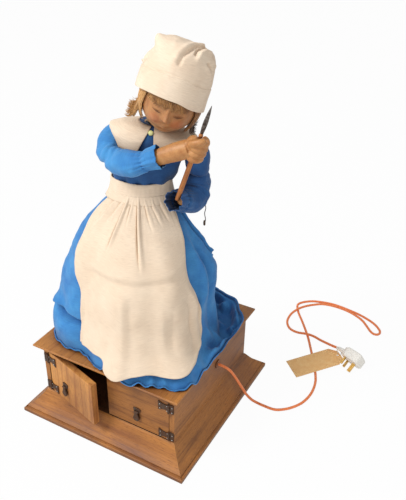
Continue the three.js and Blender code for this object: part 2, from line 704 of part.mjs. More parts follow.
// Figure: everything below is drawn in its own turned frame
const figure = new THREE.Group();
figure.rotation.z = figureTurn;
doll.add(figure);

// Skirt: rings blend from the waist to the hem, whose reach is given every 15 degrees from the figure's left
const hemShares = [
  0.99, 1, 0.99, 0.96, 0.89, 0.84, 0.81, 0.79, 0.78, 0.78, 0.79, 0.85,
  0.91, 1, 0.92, 0.86, 0.86, 0.92, 1.01, 1, 1.08, 1.02, 0.97, 0.97,
];
const levelShares = [0, 0.07, 0.13, 0.2, 0.28, 0.37, 0.48, 0.6, 0.72, 0.83, 0.93, 1];
const leftShares = [0, 0.05, 0.21, 0.36, 0.48, 0.59, 0.7, 0.79, 0.875, 0.95, 0.99, 1];
const rightShares = [0, 0.02, 0.09, 0.19, 0.31, 0.44, 0.58, 0.63, 0.595, 0.7, 0.9, 1];
const skirt = { columns: 36, folds: 12, foldDepth: 7, hemX: 4, hemY: -8, topDrop: 2 };
const skirtTop = waistHeight - skirt.topDrop;
const hemHeight = boardTop + seatGap;

function blend(shares, levels, level) {
  let i = 1;
  while (i < levels.length - 1 && levels[i] < level) i += 1;
  const part = (level - levels[i - 1]) / (levels[i] - levels[i - 1]);
  return shares[i - 1] + (shares[i] - shares[i - 1]) * part;
}

function hemRadius(angle) {
  const steps = hemShares.length;
  const at = ((angle / fullTurn) * steps + steps) % steps;
  const low = Math.floor(at);
  const part = (1 - Math.cos((at - low) * Math.PI)) / 2;
  return hemReach * (hemShares[low % steps] * (1 - part) + hemShares[(low + 1) % steps] * part);
}

function ellipseRadius(angle, a, b) {
  return (a * b) / Math.hypot(b * Math.cos(angle), a * Math.sin(angle));
}

function skirtPoint(level, angle, outward) {
  const waist = ellipseRadius(angle, waistWidth / 2, waistDepth / 2);
  const side = (1 + Math.cos(angle)) / 2;
  const share = blend(leftShares, levelShares, level) * (1 - side) + blend(rightShares, levelShares, level) * side;
  const depth = skirt.foldDepth * Math.min(1, level * 1.4);
  const fold = depth * Math.sin(skirt.folds * angle + Math.sin(angle * 2) + level);
  const radius = waist + (hemRadius(angle) - waist) * share + fold * Math.sqrt(level) + outward;
  const x = post.x + (skirt.hemX - post.x) * level + radius * Math.cos(angle);
  const y = post.y + (skirt.hemY - post.y) * level + radius * Math.sin(angle);
  return vector(x, y, skirtTop + (hemHeight - skirtTop) * level);
}

const angles = (count) => Array.from({ length: count }, (_, i) => (fullTurn * i) / count);

const skirtRing = (level, outward) => angles(skirt.columns).map((angle) => skirtPoint(level, angle, outward));
function skirtSolid() {
  const outer = levelShares.map((level) => skirtRing(level, 0));
  const inner = [...levelShares].reverse().map((level) => skirtRing(level, -clothThickness));
  return loft([...outer, ...inner], true);
}
place(figure, 'skirt', skirtSolid(), blueCotton);

// Apron: a waistband all round, and a gathered panel that follows the skirt's front
const apron = {
  gap: 0.6, thickness: 4, bandRise: 5, bandDrop: 22, bandThickness: 2.4, columns: 16,
  footShare: 0.93, topShare: 0.04,
};
// The panel's left and right edges in degrees, at shares of the way down
const apronShares = [0, 0.13, 0.24, 0.35, 0.44, 0.56, 0.72, 0.82, 0.93];
const apronLeft = [198, 196, 199, 198, 198, 212, 218, 219, 221];
const apronRight = [352, 344, 338, 328, 321, 326, 332, 328, 303];

function apronPanel() {
  const edge = (table, level) => THREE.MathUtils.degToRad(blend(table, apronShares, level));
  const levels = levelShares.map((share) => Math.max(apron.topShare, share * apron.footShare));
  return sheetLoft(apron.columns, levels, (part, level, isOuter) => {
    const angle = edge(apronLeft, level) * (1 - part) + edge(apronRight, level) * part;
    return skirtPoint(level, angle, isOuter ? apron.gap + apron.thickness : -2 * clothThickness);
  });
}

function waistband() {
  const ring = (height, outward) => angles(skirt.columns / 2).map((angle) => {
    const radius = ellipseRadius(angle, waistWidth / 2, waistDepth / 2) + outward;
    return vector(post.x + radius * Math.cos(angle), post.y + radius * Math.sin(angle), height);
  });
  const outer = apron.gap + clothThickness + apron.bandThickness;
  const inner = apron.gap * 3;
  const foot = waistHeight - apron.bandDrop;
  const top = waistHeight + apron.bandRise;
  return loft([ring(foot, outer), ring(top, outer), ring(top, inner), ring(foot, inner)], true);
}
const skirtRoom = loft(levelShares.map((level) => skirtRing(level, apron.gap)));
place(figure, 'apron', cut(join(apronPanel(), waistband()), skirtRoom), creamCotton);

// Torso: rings along an axis that leans to the figure's left, shared by the wooden block and the bodice
const torso = { headX: 24, headY: -8, columns: 16, tiltShare: 0.14 };
const torsoFoot = vector(post.x, post.y, waistHeight);
const torsoHead = vector(torso.headX, torso.headY, neckHeight);
// Along the axis, and there the half width and half depth as shares of the waist's
const torsoShares = [0, 0.1, 0.22, 0.42, 0.6, 0.78, 0.88, 0.95, 1];
const torsoWidthShares = [0.97, 1.05, 1.12, 1.16, 1.21, 1.32, 1.38, 1.02, 0.45];
const torsoDepthShares = [0.94, 1.03, 1.12, 1.24, 1.26, 1.18, 1.0, 0.82, 0.62];

function torsoPoint(level, angle, outward) {
  const radius = ellipseRadius(
    angle,
    blend(torsoWidthShares, torsoShares, level) * waistWidth / 2,
    blend(torsoDepthShares, torsoShares, level) * waistDepth / 2,
  ) + outward;
  const centre = torsoFoot.clone().lerp(torsoHead, level);
  const x = radius * Math.cos(angle);
  return vector(centre.x + x, centre.y + radius * Math.sin(angle), centre.z - x * torso.tiltShare * level);
}

function torsoRing(level, outward) {
  return angles(torso.columns).map((angle) => torsoPoint(level, angle, outward));
}

// The torso's form grown by a given amount; an open one also runs past both of its ends
function bodiceForm(outward, past = 0) {
  const rings = torsoShares.map((level) => torsoRing(level, outward));
  if (past > 0) {
    const moved = (ring, rise) => ring.map((point) => point.clone().addScaledVector(UP, rise));
    rings.unshift(moved(rings[0], -past));
    rings.push(moved(rings[rings.length - 1], past));
  }
  return loft(rings);
}

// Steps of a swing, and the room that cloth needs beside what moves past it
const swingShares = [0, 1];
const clothClear = 0.8;

// Shoulder shaft: both arms turn with it, and its short lever rests over the arm rod
const shoulder = {
  x: 22, y: -5, rise: 78, slope: THREE.MathUtils.degToRad(8), radius: 4, reach: 78,
  leverWidth: 6, leverThickness: 5, armHole: 14, swing: THREE.MathUtils.degToRad(5),
};
const shoulderMiddle = vector(shoulder.x, shoulder.y, waistHeight + shoulder.rise);
const shoulderLine = vector(Math.cos(shoulder.slope), 0, -Math.sin(shoulder.slope));
const shoulderAt = (along) => shoulderMiddle.clone().addScaledVector(shoulderLine, along);
const armRodTop = toFigure(armRodX, shaft.y, 0);
const headRodTop = toFigure(headRodX, shaft.y, 0);

function swung(geometry, angle) {
  const turn = new THREE.Matrix4().makeRotationAxis(shoulderLine, angle);
  const there = new THREE.Matrix4().makeTranslation(shoulderMiddle);
  const back = there.clone().invert();
  return geometry.clone().applyMatrix4(there.multiply(turn).multiply(back));
}

const leverFoot = shoulderMiddle.z - shoulder.leverThickness / 2;
function shoulderShaft() {
  const x = armRodTop.x;
  const lever = block([x - shoulder.leverWidth / 2, x + shoulder.leverWidth / 2],
    [armRodTop.y - shoulder.leverWidth / 2, shoulderMiddle.y], [leverFoot, leverFoot + shoulder.leverThickness]);
  return join(bar(shoulderAt(-shoulder.reach), shoulderAt(shoulder.reach), shoulder.radius, 16), lever);
}
place(figure, 'shoulder_shaft', shoulderShaft(), steel);

// Neck pivot: a flat lever in the head turns on a pin between two cheeks on the torso
const neck = {
  x: headRodTop.x, y: -2, rise: 5, thickness: 5, cheek: 4, cheekDepth: 16, pinRadius: 2.5,
  tail: 5, height: 28, width: 15,
};
const neckPivot = neckHeight + neck.rise;

const hip = { height: 36, round: 4 };
const hipFoot = waistHeight - seatGap - hip.height;
function hipBlock() {
  const wall = clothThickness + 2 * seatGap;
  const ring = (height, outward) => angles(torso.columns).map((angle) => {
    const radius = ellipseRadius(angle, waistWidth / 2, waistDepth / 2) - wall + outward;
    return vector(post.x + radius * Math.cos(angle), post.y + radius * Math.sin(angle), height);
  });
  const high = hipFoot + hip.height;
  return loft([
    ring(hipFoot, -hip.round), ring(hipFoot + hip.round, 0), ring(high - hip.round, 0), ring(high, -hip.round / 2),
  ]);
}
const socketDepth = 16;
const figureBore = (x, from, to, radius = rodRadius + runningGap) => {
  const at = toFigure(x, shaft.y, 0);
  return bar(vector(at.x, at.y, from), vector(at.x, at.y, to), radius, 12);
};
place(figure, 'hip_block', cut(
  hipBlock(),
  bar(vector(post.x, post.y, hipFoot - overrun), vector(post.x, post.y, hipFoot + socketDepth),
    post.radius + seatGap, 20),
  figureBore(armRodX, hipFoot - overrun, waistHeight + overrun),
  figureBore(headRodX, hipFoot - overrun, waistHeight + overrun),
), carvedWood);

// The neck rises out of the collar and its top lies in a hollow under the head
const neckForm = { drop: 21, leanX: 7, leanY: -3, rise: 12, radius: 14, sides: 16 };
const neckFoot = vector(torso.headX, torso.headY, neckHeight - neckForm.drop);
const neckTop = vector(torso.headX + neckForm.leanX, torso.headY + neckForm.leanY, neckHeight + neckForm.rise);
function neckStub(outward) {
  return bar(neckFoot, neckTop, neckForm.radius + outward, neckForm.sides);
}

// The block starts on the hip block, and is slotted from front to back for the rods and the shaft
function torsoBlock() {
  const inset = -clothThickness - seatGap;
  const body = bodiceForm(inset);
  const cheekLow = neckHeight - neck.cheekDepth;
  const cheek = (side) => {
    const near = neck.x + side * (neck.thickness / 2 + runningGap);
    const far = near + side * neck.cheek;
    const [a, b] = [near, far].sort((p, q) => p - q);
    const upright = block([a, b], [neck.y - neck.width / 2, neck.y + neck.width / 2], [cheekLow, neckPivot]);
    const round = bar(vector(a, neck.y, neckPivot), vector(b, neck.y, neckPivot), neck.width / 2, 20);
    return join(upright, round);
  };
  const well = block(
    [armRodTop.x - shoulder.leverWidth, headRodTop.x + shoulder.leverWidth],
    [headRodTop.y - shoulder.leverWidth, shoulderMiddle.y - shoulder.radius],
    [skirtTop, neckPivot + neck.width],
  );
  const slot = block(
    [neck.x - neck.thickness / 2 - runningGap, neck.x + neck.thickness / 2 + runningGap],
    [headRodTop.y - shoulder.leverWidth, neck.y + neck.width], [cheekLow - overrun, neckPivot + neck.width],
  );
  const shaftBore = bar(shoulderAt(-shoulder.reach - overrun), shoulderAt(shoulder.reach + overrun),
    shoulder.radius + runningGap, 16);
  const leverRoom = block(
    [armRodTop.x - shoulder.leverWidth, armRodTop.x + shoulder.leverWidth],
    [headRodTop.y - shoulder.leverWidth, shoulderMiddle.y + shoulder.radius],
    [leverFoot - shoulder.leverWidth, leverFoot + shoulder.leverWidth * 2],
  );
  const pinBore = bar(vector(neck.x - neck.width, neck.y, neckPivot), vector(neck.x + neck.width, neck.y, neckPivot),
    neck.pinRadius + runningGap, 16);
  return cut(join(body, neckStub(0), cheek(-1), cheek(1)), well, slot, shaftBore, leverRoom, pinBore);
}
place(figure, 'torso_block', torsoBlock(), carvedWood);

function bodice() {
  const armHole = (side) => bar(shoulderAt(side * shoulder.reach / 2), shoulderAt(side * shoulder.reach * 2),
    shoulder.armHole, 14);
  const inner = bodiceForm(-clothThickness, overrun);
  return cut(bodiceForm(0), inner, armHole(-1), armHole(1), neckStub(clothClear));
}
place(figure, 'bodice', bodice(), blueCotton);

// Collar: a flat turned-down collar round the neck, open at the throat
const collar = {
  gap: 1.7, thickness: 1.6, columns: 22, openingTop: THREE.MathUtils.degToRad(6),
  openingFoot: THREE.MathUtils.degToRad(19), flare: 4,
};
const collarShares = [0.985, 0.95, 0.88, 0.83, 0.78, 0.7, 0.63];
// How deep the collar hangs, from the throat round by the left shoulder and the back to the throat again
const collarDepthShares = [0.9, 1, 0.4, 0.6, 0.7, 0.6, 0.36, 1, 0.95];

function collarOutward(level, angle) {
  const drop = (collarShares[0] - level) / (collarShares[0] - collarShares[collarShares.length - 1]);
  return collar.gap + collar.flare * Math.min(1, drop) * Math.cos(angle) ** 2;
}

function collarSolid() {
  const spots = collarDepthShares.map((_, i) => i / (collarDepthShares.length - 1));
  const top = collarShares[0];
  const foot = collarShares[collarShares.length - 1];
  const tuckShare = 0.04;
  return sheetLoft(collar.columns, collarShares, (part, share, isOuter) => {
    const edge = top - (top - foot) * blend(collarDepthShares, spots, part);
    const level = share < edge ? edge + (share - edge) * tuckShare : share;
    const down = (top - level) / (top - foot);
    const opening = collar.openingTop + (collar.openingFoot - collar.openingTop) * down;
    const angle = opening - quarterTurn + (fullTurn - 2 * opening) * part;
    return torsoPoint(level, angle, collarOutward(level, angle) + (isOuter ? collar.thickness : 0));
  });
}
place(figure, 'collar', collarSolid(), creamCotton);

// What the sleeves must clear: the bodice and the collar, and everything above them
function chestRoom() {
  const low = torsoShares.findIndex((level) => level > collarShares[collarShares.length - 1]) - 1;
  const high = collarShares[1];
  return loft(torsoShares.map((level, i) => angles(torso.columns).map((angle) => {
    const rise = Math.max(0, level - high) / (1 - high);
    const flare = i < low ? 0 : collarOutward(level, angle) + collar.thickness + clothClear * 4;
    return torsoPoint(level, angle, flare + clothClear + rise * waistWidth / 2);
  })));
}

// Button at the throat
const button = { radius: 4.6, dome: 1.8, domeShare: 0.7, thickness: 1.6, level: 0.93, sides: 12 };
function collarButton() {
  const dome = turned([
    [0, 0], [button.radius, 0], [button.radius, button.thickness],
    [button.radius * button.domeShare, button.thickness + button.dome * button.domeShare],
    [0, button.thickness + button.dome],
  ], button.sides);
  const at = torsoPoint(button.level, -quarterTurn, collar.gap + collar.thickness + seatGap * 3);
  return dome.rotateX(quarterTurn * 0.75).translate(at.x, at.y, at.z);
}
place(figure, 'collar_button', collarButton(), paleButton);

// Arms: a carved arm with its hand, and a sleeve round it
const limbRipple = { lobes: 7, turn: 1.7 };
function limb(path, columns, ripple = 0) {
  const centres = path.map(([x, y, z]) => vector(x, y, z));
  const side = vector(0, 1, 0);
  const rings = path.map(([, , , radius], i) => {
    const before = centres[Math.max(0, i - 1)];
    const after = centres[Math.min(centres.length - 1, i + 1)];
    const along = after.clone().sub(before).normalize();
    side.addScaledVector(along, -side.dot(along)).normalize();
    const over = along.clone().cross(side);
    return angles(columns).map((angle) => {
      const wave = 1 + ripple * Math.sin(limbRipple.lobes * angle + i * limbRipple.turn);
      return centres[i].clone()
        .addScaledVector(side, radius * wave * Math.cos(angle))
        .addScaledVector(over, radius * wave * Math.sin(angle));
    });
  });
  return loft(rings);
}

const ball = (centre, radius, stretch = vector(1, 1, 1), sides = 10) =>
  new THREE.SphereGeometry(radius, sides, 5).scale(...stretch).translate(...centre);

// Stick and blade lie on one line through the right fist into the left cuff
const armMeasure = 100;
const fromShoulder = ([x, y, z]) => vector(x, y, z).multiplyScalar(armMeasure).add(shoulderMiddle);
const toolTip = fromShoulder([1.124, -1.07, 1.09]);
const toolEnd = fromShoulder([0.513, -0.71, -0.794]);
const tool = {
  handleRadius: 4.3, taperShare: 0.85, bladeShare: 0.72, bladeWidth: 11, bladeThickness: 3, gripShare: 0.03,
};
const toolAt = (share) => toolEnd.clone().lerp(toolTip, share);
const fistShare = 0.585;

function toolHandle() {
  return bar(toolEnd, toolAt(tool.bladeShare), tool.handleRadius, 12, tool.handleRadius * tool.taperShare);
}

function toolBlade() {
  const from = toolAt(tool.bladeShare);
  const along = toolTip.clone().sub(from);
  const length = along.length();
  const half = tool.bladeWidth / 2;
  const shape = new THREE.Shape();
  shape.moveTo(-half * 0.6, 0);
  shape.lineTo(half * 0.6, 0);
  shape.quadraticCurveTo(half * 1.5, length * 0.35, 0, length);
  shape.quadraticCurveTo(-half * 1.2, length * 0.4, -half * 0.6, 0);
  const depth = tool.bladeThickness;
  const blade = new THREE.ExtrudeGeometry(shape, { depth, bevelEnabled: false, curveSegments: 8 })
    .translate(0, 0, -tool.bladeThickness / 2);
  const turn = new THREE.Quaternion().setFromUnitVectors(vector(0, 1, 0), along.clone().normalize());
  const start = from.addScaledVector(along.normalize(), seatGap);
  return blade.applyQuaternion(turn).translate(start.x, start.y, start.z);
}
place(figure, 'tool_handle', toolHandle(), stickWood);
place(figure, 'tool_blade', toolBlade(), darkIron);

const gripClear = bar(toolEnd.clone().lerp(toolTip, -0.1), toolTip, tool.handleRadius + seatGap, 12);
const shaftEnds = bar(shoulderAt(-shoulder.reach), shoulderAt(shoulder.reach), shoulder.radius + seatGap, 16);

// Places along each arm and sleeve, with a radius, as shares of the arm's measure from the shoulder shaft's middle
const rightArmShares = [
  [-0.76, -0.01, 0.1, 0.08], [-0.82, -0.04, 0.07, 0.1], [-0.83, -0.2, -0.03, 0.1], [-0.76, -0.4, -0.14, 0.105],
  [-0.55, -0.6, -0.18, 0.105], [-0.26, -0.76, -0.12, 0.11], [0.08, -0.85, 0.01, 0.12], [0.36, -0.89, 0.13, 0.13],
  [0.58, -0.91, 0.21, 0.14], [0.75, -0.92, 0.27, 0.14],
];
const leftArmShares = [
  [0.72, 0, -0.1, 0.08], [0.8, 0.01, -0.15, 0.1], [0.88, 0.03, -0.41, 0.1], [0.9, 0.05, -0.71, 0.1],
  [0.87, -0.03, -0.95, 0.11], [0.76, -0.23, -1.04, 0.105], [0.64, -0.41, -0.95, 0.09], [0.57, -0.56, -0.87, 0.09],
  [0.54, -0.68, -0.79, 0.085],
];
const rightSleeveShares = [
  [-0.56, 0, 0.12, 0.18], [-0.7, -0.04, 0.11, 0.2], [-0.79, -0.15, 0.03, 0.2], [-0.8, -0.3, -0.08, 0.2],
  [-0.69, -0.46, -0.15, 0.2], [-0.52, -0.6, -0.18, 0.22], [-0.33, -0.7, -0.16, 0.23], [-0.14, -0.78, -0.1, 0.205],
  [0, -0.83, -0.03, 0.165], [0.08, -0.85, 0.01, 0.175], [0.25, -0.88, 0.08, 0.19],
];
const leftSleeveShares = [
  [0.6, 0, -0.02, 0.16], [0.72, 0, -0.09, 0.19], [0.81, 0.02, -0.23, 0.19], [0.85, 0.03, -0.43, 0.17],
  [0.86, 0.05, -0.6, 0.165], [0.86, 0, -0.8, 0.215], [0.78, -0.16, -0.99, 0.23], [0.69, -0.34, -1, 0.22],
  [0.6, -0.49, -0.91, 0.19], [0.52, -0.62, -0.84, 0.17], [0.46, -0.76, -0.79, 0.165],
];
const armPath = (shares, grown = 0) => shares.map(([x, y, z, radius]) => [
  ...fromShoulder([x, y, z]), armMeasure * radius + grown,
]);

// The fist: places outward, forward and along the stick, with a radius, as shares of the hand's measure
const handMeasure = 19;
const knuckleShares = [-0.75, -0.25, 0.25, 0.75];
const fingerShares = [[-0.2, 0.55], [0.35, 0.55], [0.65, 0.15], [0.45, -0.4]];
const fingerRadiusShare = 0.31;
const palmShares = [[-0.3, 0.1, -1, 0.35], [-0.3, 0.1, -0.6, 0.55], [-0.3, 0.1, 0.6, 0.55], [-0.3, 0.1, 1, 0.35]];
const thumbShares = [
  [-0.4, 0.3, 0.4, 0.35], [-0.3, 0.65, 0.75, 0.325], [0.2, 0.7, 1.1, 0.3], [0.5, 0.55, 1.25, 0.2],
];

function fist(centre) {
  const along = toolTip.clone().sub(toolEnd).normalize();
  const out = vector(1, 0, 0).addScaledVector(along, -along.x).normalize();
  const front = out.clone().cross(along);
  const at = ([outShare, frontShare, alongShare, radiusShare]) => [
    ...centre.clone().addScaledVector(out, outShare * handMeasure)
      .addScaledVector(front, frontShare * handMeasure)
      .addScaledVector(along, alongShare * handMeasure),
    radiusShare * handMeasure,
  ];
  const fingers = knuckleShares.map((row) =>
    limb(fingerShares.map(([outShare, frontShare]) => at([outShare, frontShare, row, fingerRadiusShare])), 6));
  return join(limb(palmShares.map(at), 8), limb(thumbShares.map(at), 6), ...fingers);
}

const rightFist = fist(toolAt(fistShare));
const leftGrip = toolAt(tool.gripShare);
const leftFistRadius = 9.5;
const leftFist = ball(leftGrip, leftFistRadius);
const leftFistRoom = ball(leftGrip, leftFistRadius + seatGap * 2);
const rightArm = join(limb(armPath(rightArmShares), 10), rightFist);
const leftArm = join(limb(armPath(leftArmShares), 10), leftFist);
place(figure, 'right_arm', cut(rightArm, gripClear, shaftEnds), paintedSkin);
place(figure, 'left_arm', cut(leftArm, gripClear, shaftEnds), paintedSkin);

const cuff = { wall: 2.4, depthShare: 0.9, sides: 12, rippleShare: 0.035 };
function cuffOpening(path) {
  const [before, end] = path.slice(-2).map(([x, y, z]) => vector(x, y, z));
  const radius = path[path.length - 1][3] - cuff.wall;
  const outward = end.clone().sub(before).normalize();
  return bar(end.clone().lerp(before, cuff.depthShare), end.addScaledVector(outward, overrun), radius, cuff.sides);
}

function sleeve(shares, arm) {
  const path = armPath(shares);
  const room = chestRoom();
  const swings = swingShares.map((share) => swung(room, shoulder.swing * share));
  return cut(limb(path, cuff.sides, cuff.rippleShare), ...swings, arm, gripClear, shaftEnds, cuffOpening(path));
}
const armRoom = (shares) => limb(armPath(shares, seatGap * 2), 10);
place(figure, 'right_sleeve', sleeve(rightSleeveShares, armRoom(rightArmShares)), blueCotton);

// Drawstring with its toggle, which hangs from an eyelet in the left sleeve
const drawstring = { radius: 0.8, toggleRadius: 2.2, toggleLength: 9, sides: 6, steps: 10 };
const drawstringShares = [
  [0.85, 0, -1.06], [0.89, 0.05, -1.145], [0.95, 0.09, -1.31], [0.93, 0.1, -1.45], [0.95, 0.1, -1.59],
  [0.93, 0.1, -1.69],
];
const drawstringPath = drawstringShares.map(fromShoulder);
const eyelet = bar(drawstringPath[0].clone().lerp(drawstringPath[1], -1 / 2), drawstringPath[1],
  drawstring.radius + seatGap, drawstring.sides * 2);
const leftSleeve = sleeve(leftSleeveShares, join(armRoom(leftArmShares), leftFistRoom));
place(figure, 'left_sleeve', cut(leftSleeve, eyelet), blueCotton);

function sleeveDrawstring() {
  const end = drawstringPath[drawstringPath.length - 1];
  const toggle = bar(end.clone().addScaledVector(UP, drawstring.toggleLength / 4),
    end.clone().addScaledVector(UP, -drawstring.toggleLength), drawstring.toggleRadius, 10);
  return join(tube(drawstringPath, drawstring.radius, drawstring.sides, drawstring.steps), toggle);
}
place(figure, 'sleeve_drawstring', sleeveDrawstring(), twine);

// Push rods with a foot over each cam
const rodFoot = { radius: 5.5, thickness: 4 };
function pushRod(x, top) {
  const foot = shaft.z + cam.radius + seatGap;
  const profile = [
    [0, foot], [rodFoot.radius, foot], [rodFoot.radius, foot + rodFoot.thickness * 0.7],
    [rodRadius, foot + rodFoot.thickness], [rodRadius, top - rodRadius / 2], [rodRadius / 2, top], [0, top],
  ];
  return turned(profile, 12).translate(x, shaft.y, 0);
}
place(doll, 'arm_rod', pushRod(armRodX, leverFoot - seatGap), steel);
place(doll, 'head_rod', pushRod(headRodX, neckPivot - neck.tail / 2 - seatGap), steel);

// Post that carries the figure, with its flange on the top board
function figurePost() {
  const top = hipFoot + socketDepth - seatGap;
  const profile = [
    [0, boardTop], [post.flangeRadius, boardTop],
    [post.flangeRadius, boardTop + post.flangeThickness * post.flangeEdgeShare],
    [post.radius + post.fillet, boardTop + post.flangeThickness], [post.radius, boardTop + post.flangeThickness * 2],
    [post.radius, top], [0, top],
  ];
  const body = turned(profile, 20).translate(post.x, post.y, 0);
  return cut(body, figureBore(armRodX, boardTop - overrun, top), figureBore(headRodX, boardTop - overrun, top));
}
place(figure, 'figure_post', figurePost(), carvedWood);

// Head: worked in its own tilted frame, then set in the figure
const headSeat = { x: 57, y: -38, rise: 52 };
const headCentre = vector(headSeat.x, headSeat.y, neckHeight + headSeat.rise);
const headTilt = new THREE.Euler(
  THREE.MathUtils.degToRad(18), THREE.MathUtils.degToRad(20), THREE.MathUtils.degToRad(6), 'YXZ',
);
const headPose = new THREE.Matrix4().makeRotationFromEuler(headTilt).setPosition(headCentre);

// The face: each bump or hollow has a place across and up, half sizes and a rise, as shares of the head's width
const faceShares = [
  [0, -0.09, 0.06, 0.09, 0.08], [0, -0.44, 0.12, 0.08, 0.035], [0, -0.29, 0.11, 0.05, 0.025],
  [-0.21, -0.2, 0.12, 0.12, 0.03], [0.21, -0.2, 0.12, 0.12, 0.03],
  [-0.18, 0.03, 0.09, 0.06, -0.03], [0.18, 0.03, 0.09, 0.06, -0.03],
];
const jawShare = 0.12;
const chinShare = 0.05;

function faceRise(x, z) {
  return faceShares.reduce((sum, [atX, atZ, halfWidth, halfHeight, rise]) => {
    const across = (x / headWidth - atX) / halfWidth;
    const up = (z / headWidth - atZ) / halfHeight;
    return sum + headWidth * rise * Math.exp(-(across ** 2) - up ** 2);
  }, 0);
}

function headForm(columns = 20, rows = 14) {
  const geometry = new THREE.SphereGeometry(1, columns, rows).rotateX(quarterTurn);
  const position = geometry.attributes.position;
  for (let i = 0; i < position.count; i += 1) {
    const nx = position.getX(i);
    const ny = position.getY(i);
    const nz = position.getZ(i);
    const below = nz < 0 ? nz * nz : 0;
    const x = nx * (headWidth / 2) * (1 - jawShare * below);
    const z = nz * (headHeight / 2);
    const front = Math.min(1, Math.max(0, -2 * ny));
    const y = ny * (headDepth / 2) * (1 - jawShare * below) - headWidth * chinShare * below - front * faceRise(x, z);
    position.setXYZ(i, x, y, z);
  }
  return geometry;
}

const nod = THREE.MathUtils.degToRad(7);
function nodded(geometry, angle) {
  return geometry.clone().translate(0, -neck.y, -neckPivot).rotateX(angle).translate(0, neck.y, neckPivot);
}

// What the head and the hair must clear over the whole nod: the neck, the bodice and the collar
function nodRoom(geometry) {
  return swingShares.map((share) => nodded(geometry, nod * share));
}

function nodLever() {
  const x = neck.x;
  const half = neck.thickness / 2;
  const plateBody = block([x - half, x + half], [neck.y - neck.width / 2, neck.y + neck.width / 2],
    [neckPivot, neckPivot + neck.height]);
  const boss = bar(vector(x - half, neck.y, neckPivot), vector(x + half, neck.y, neckPivot), neck.width / 2, 20);
  const tail = block([x - half, x + half], [headRodTop.y - neck.tail / 2, neck.y],
    [neckPivot - neck.tail / 2, neckPivot + neck.tail / 2]);
  const pinHalf = half + neck.cheek;
  const pin = bar(vector(x - pinHalf, neck.y, neckPivot), vector(x + pinHalf, neck.y, neckPivot),
    neck.pinRadius, 16);
  return join(plateBody, boss, tail, pin);
}
place(figure, 'nod_lever', nodLever(), steel);

const leverSlot = block(
  [neck.x - neck.thickness / 2 - seatGap, neck.x + neck.thickness / 2 + seatGap],
  [neck.y - neck.width / 2 - seatGap, neck.y + neck.width / 2 + seatGap],
  [neckPivot - neck.width, neckPivot + neck.height + seatGap],
);
place(figure, 'head', cut(
  headForm().applyMatrix4(headPose), leverSlot, ...nodRoom(neckStub(clothClear)), ...nodRoom(collarSolid()),
), paintedSkin);

// Cap: a full crown gathered into a band that sits back on the hair
const cap = {
  pitch: THREE.MathUtils.degToRad(27), columns: 22, wall: 3, hairGap: 0.8, seatX: -3,
  height: 110, halfWidth: 61.5, halfDepth: 64, folds: 9, foldShare: 0.02,
};
const capHeightShares = [0, 0.073, 0.236, 0.418, 0.618, 0.782, 0.891, 0.964, 1];
const capWidthShares = [1, 1, 0.992, 0.992, 0.976, 0.911, 0.748, 0.488, 0.195];
const capDepthShares = [0.969, 0.984, 1, 1, 0.953, 0.844, 0.672, 0.438, 0.172];
const capPose = headPose.clone().multiply(
  new THREE.Matrix4().makeRotationX(-cap.pitch).setPosition(cap.seatX, 0, 0),
);

function capRing(i, inward, drop = 0) {
  const fold = cap.foldShare * Math.min(1, i / 3);
  return angles(cap.columns).map((angle) => {
    const halfWidth = cap.halfWidth * capWidthShares[i] - inward;
    const halfDepth = cap.halfDepth * capDepthShares[i] - inward;
    const wave = 1 + fold * Math.sin(cap.folds * angle + i / 2);
    const radius = wave * ellipseRadius(angle, halfWidth, halfDepth);
    return vector(radius * Math.cos(angle), radius * Math.sin(angle), cap.height * capHeightShares[i] - drop);
  });
}

function capSolid() {
  return loft(capHeightShares.map((_, i) => capRing(i, 0))).applyMatrix4(capPose);
}

// The hollow under the cap's wall, which runs out past the brim
function capInside(inward) {
  const reach = cap.wall + inward;
  const rings = capHeightShares.map((_, i) => capRing(i, reach, i > capHeightShares.length / 2 ? reach : 0));
  rings[0] = capRing(0, reach, overrun);
  return loft(rings).applyMatrix4(capPose);
}
place(figure, 'cap', cut(capSolid(), capInside(0)), creamCotton);

// Hair: a close layer over the head, open at the face, with a curl over each ear
const hair = { cover: 6.5, gap: 2.4, faceHalfWidth: 47, faceHalfHeight: 62, faceDepth: -8, nape: -40 };
// A curl over each ear: its place, radius and stretch, as shares of the head's width
const curlShares = [[-0.57, 0.04, -0.32, 0.11, [1.4, 1, 1.05]], [0.46, 0.02, -0.3, 0.12, [1, 1, 1.5]]];
function headShell(outward) {
  return new THREE.SphereGeometry(1, 16, 9).rotateX(quarterTurn)
    .scale(headWidth / 2 + outward, headDepth / 2 + outward, headHeight / 2 + outward);
}

function hairSolid() {
  const curls = curlShares.map(([x, y, z, radius, stretch]) =>
    ball(vector(x, y, z).multiplyScalar(headWidth), radius * headWidth, vector(...stretch), 9));
  const face = bar(vector(0, hair.faceDepth, 0), vector(0, -headDepth, 0), 1, 20)
    .scale(hair.faceHalfWidth, 1, hair.faceHalfHeight).translate(0, 0, -hair.faceHalfHeight / 4);
  const below = block([-headWidth, headWidth], [-headDepth, headDepth], [hair.nape - headHeight, hair.nape]);
  const layer = cut(headShell(hair.cover), below, face);
  const whole = cut(join(layer, ...curls), headShell(hair.gap)).applyMatrix4(headPose);
  const inCap = common(cut(whole, leverSlot), join(capInside(cap.hairGap), belowBrim()));
  return cut(
    inCap, ...nodRoom(neckStub(clothClear)), ...nodRoom(collarSolid()), ...nodRoom(bodiceForm(clothClear)),
  );
}

// What lies below the cap's brim, so that the hair can hang out of it
function belowBrim() {
  const reach = headHeight * 2;
  return block([-reach, reach], [-reach, reach], [-reach, -overrun / 2]).applyMatrix4(capPose);
}
place(figure, 'hair', hairSolid(), brownHair);

export default doll;
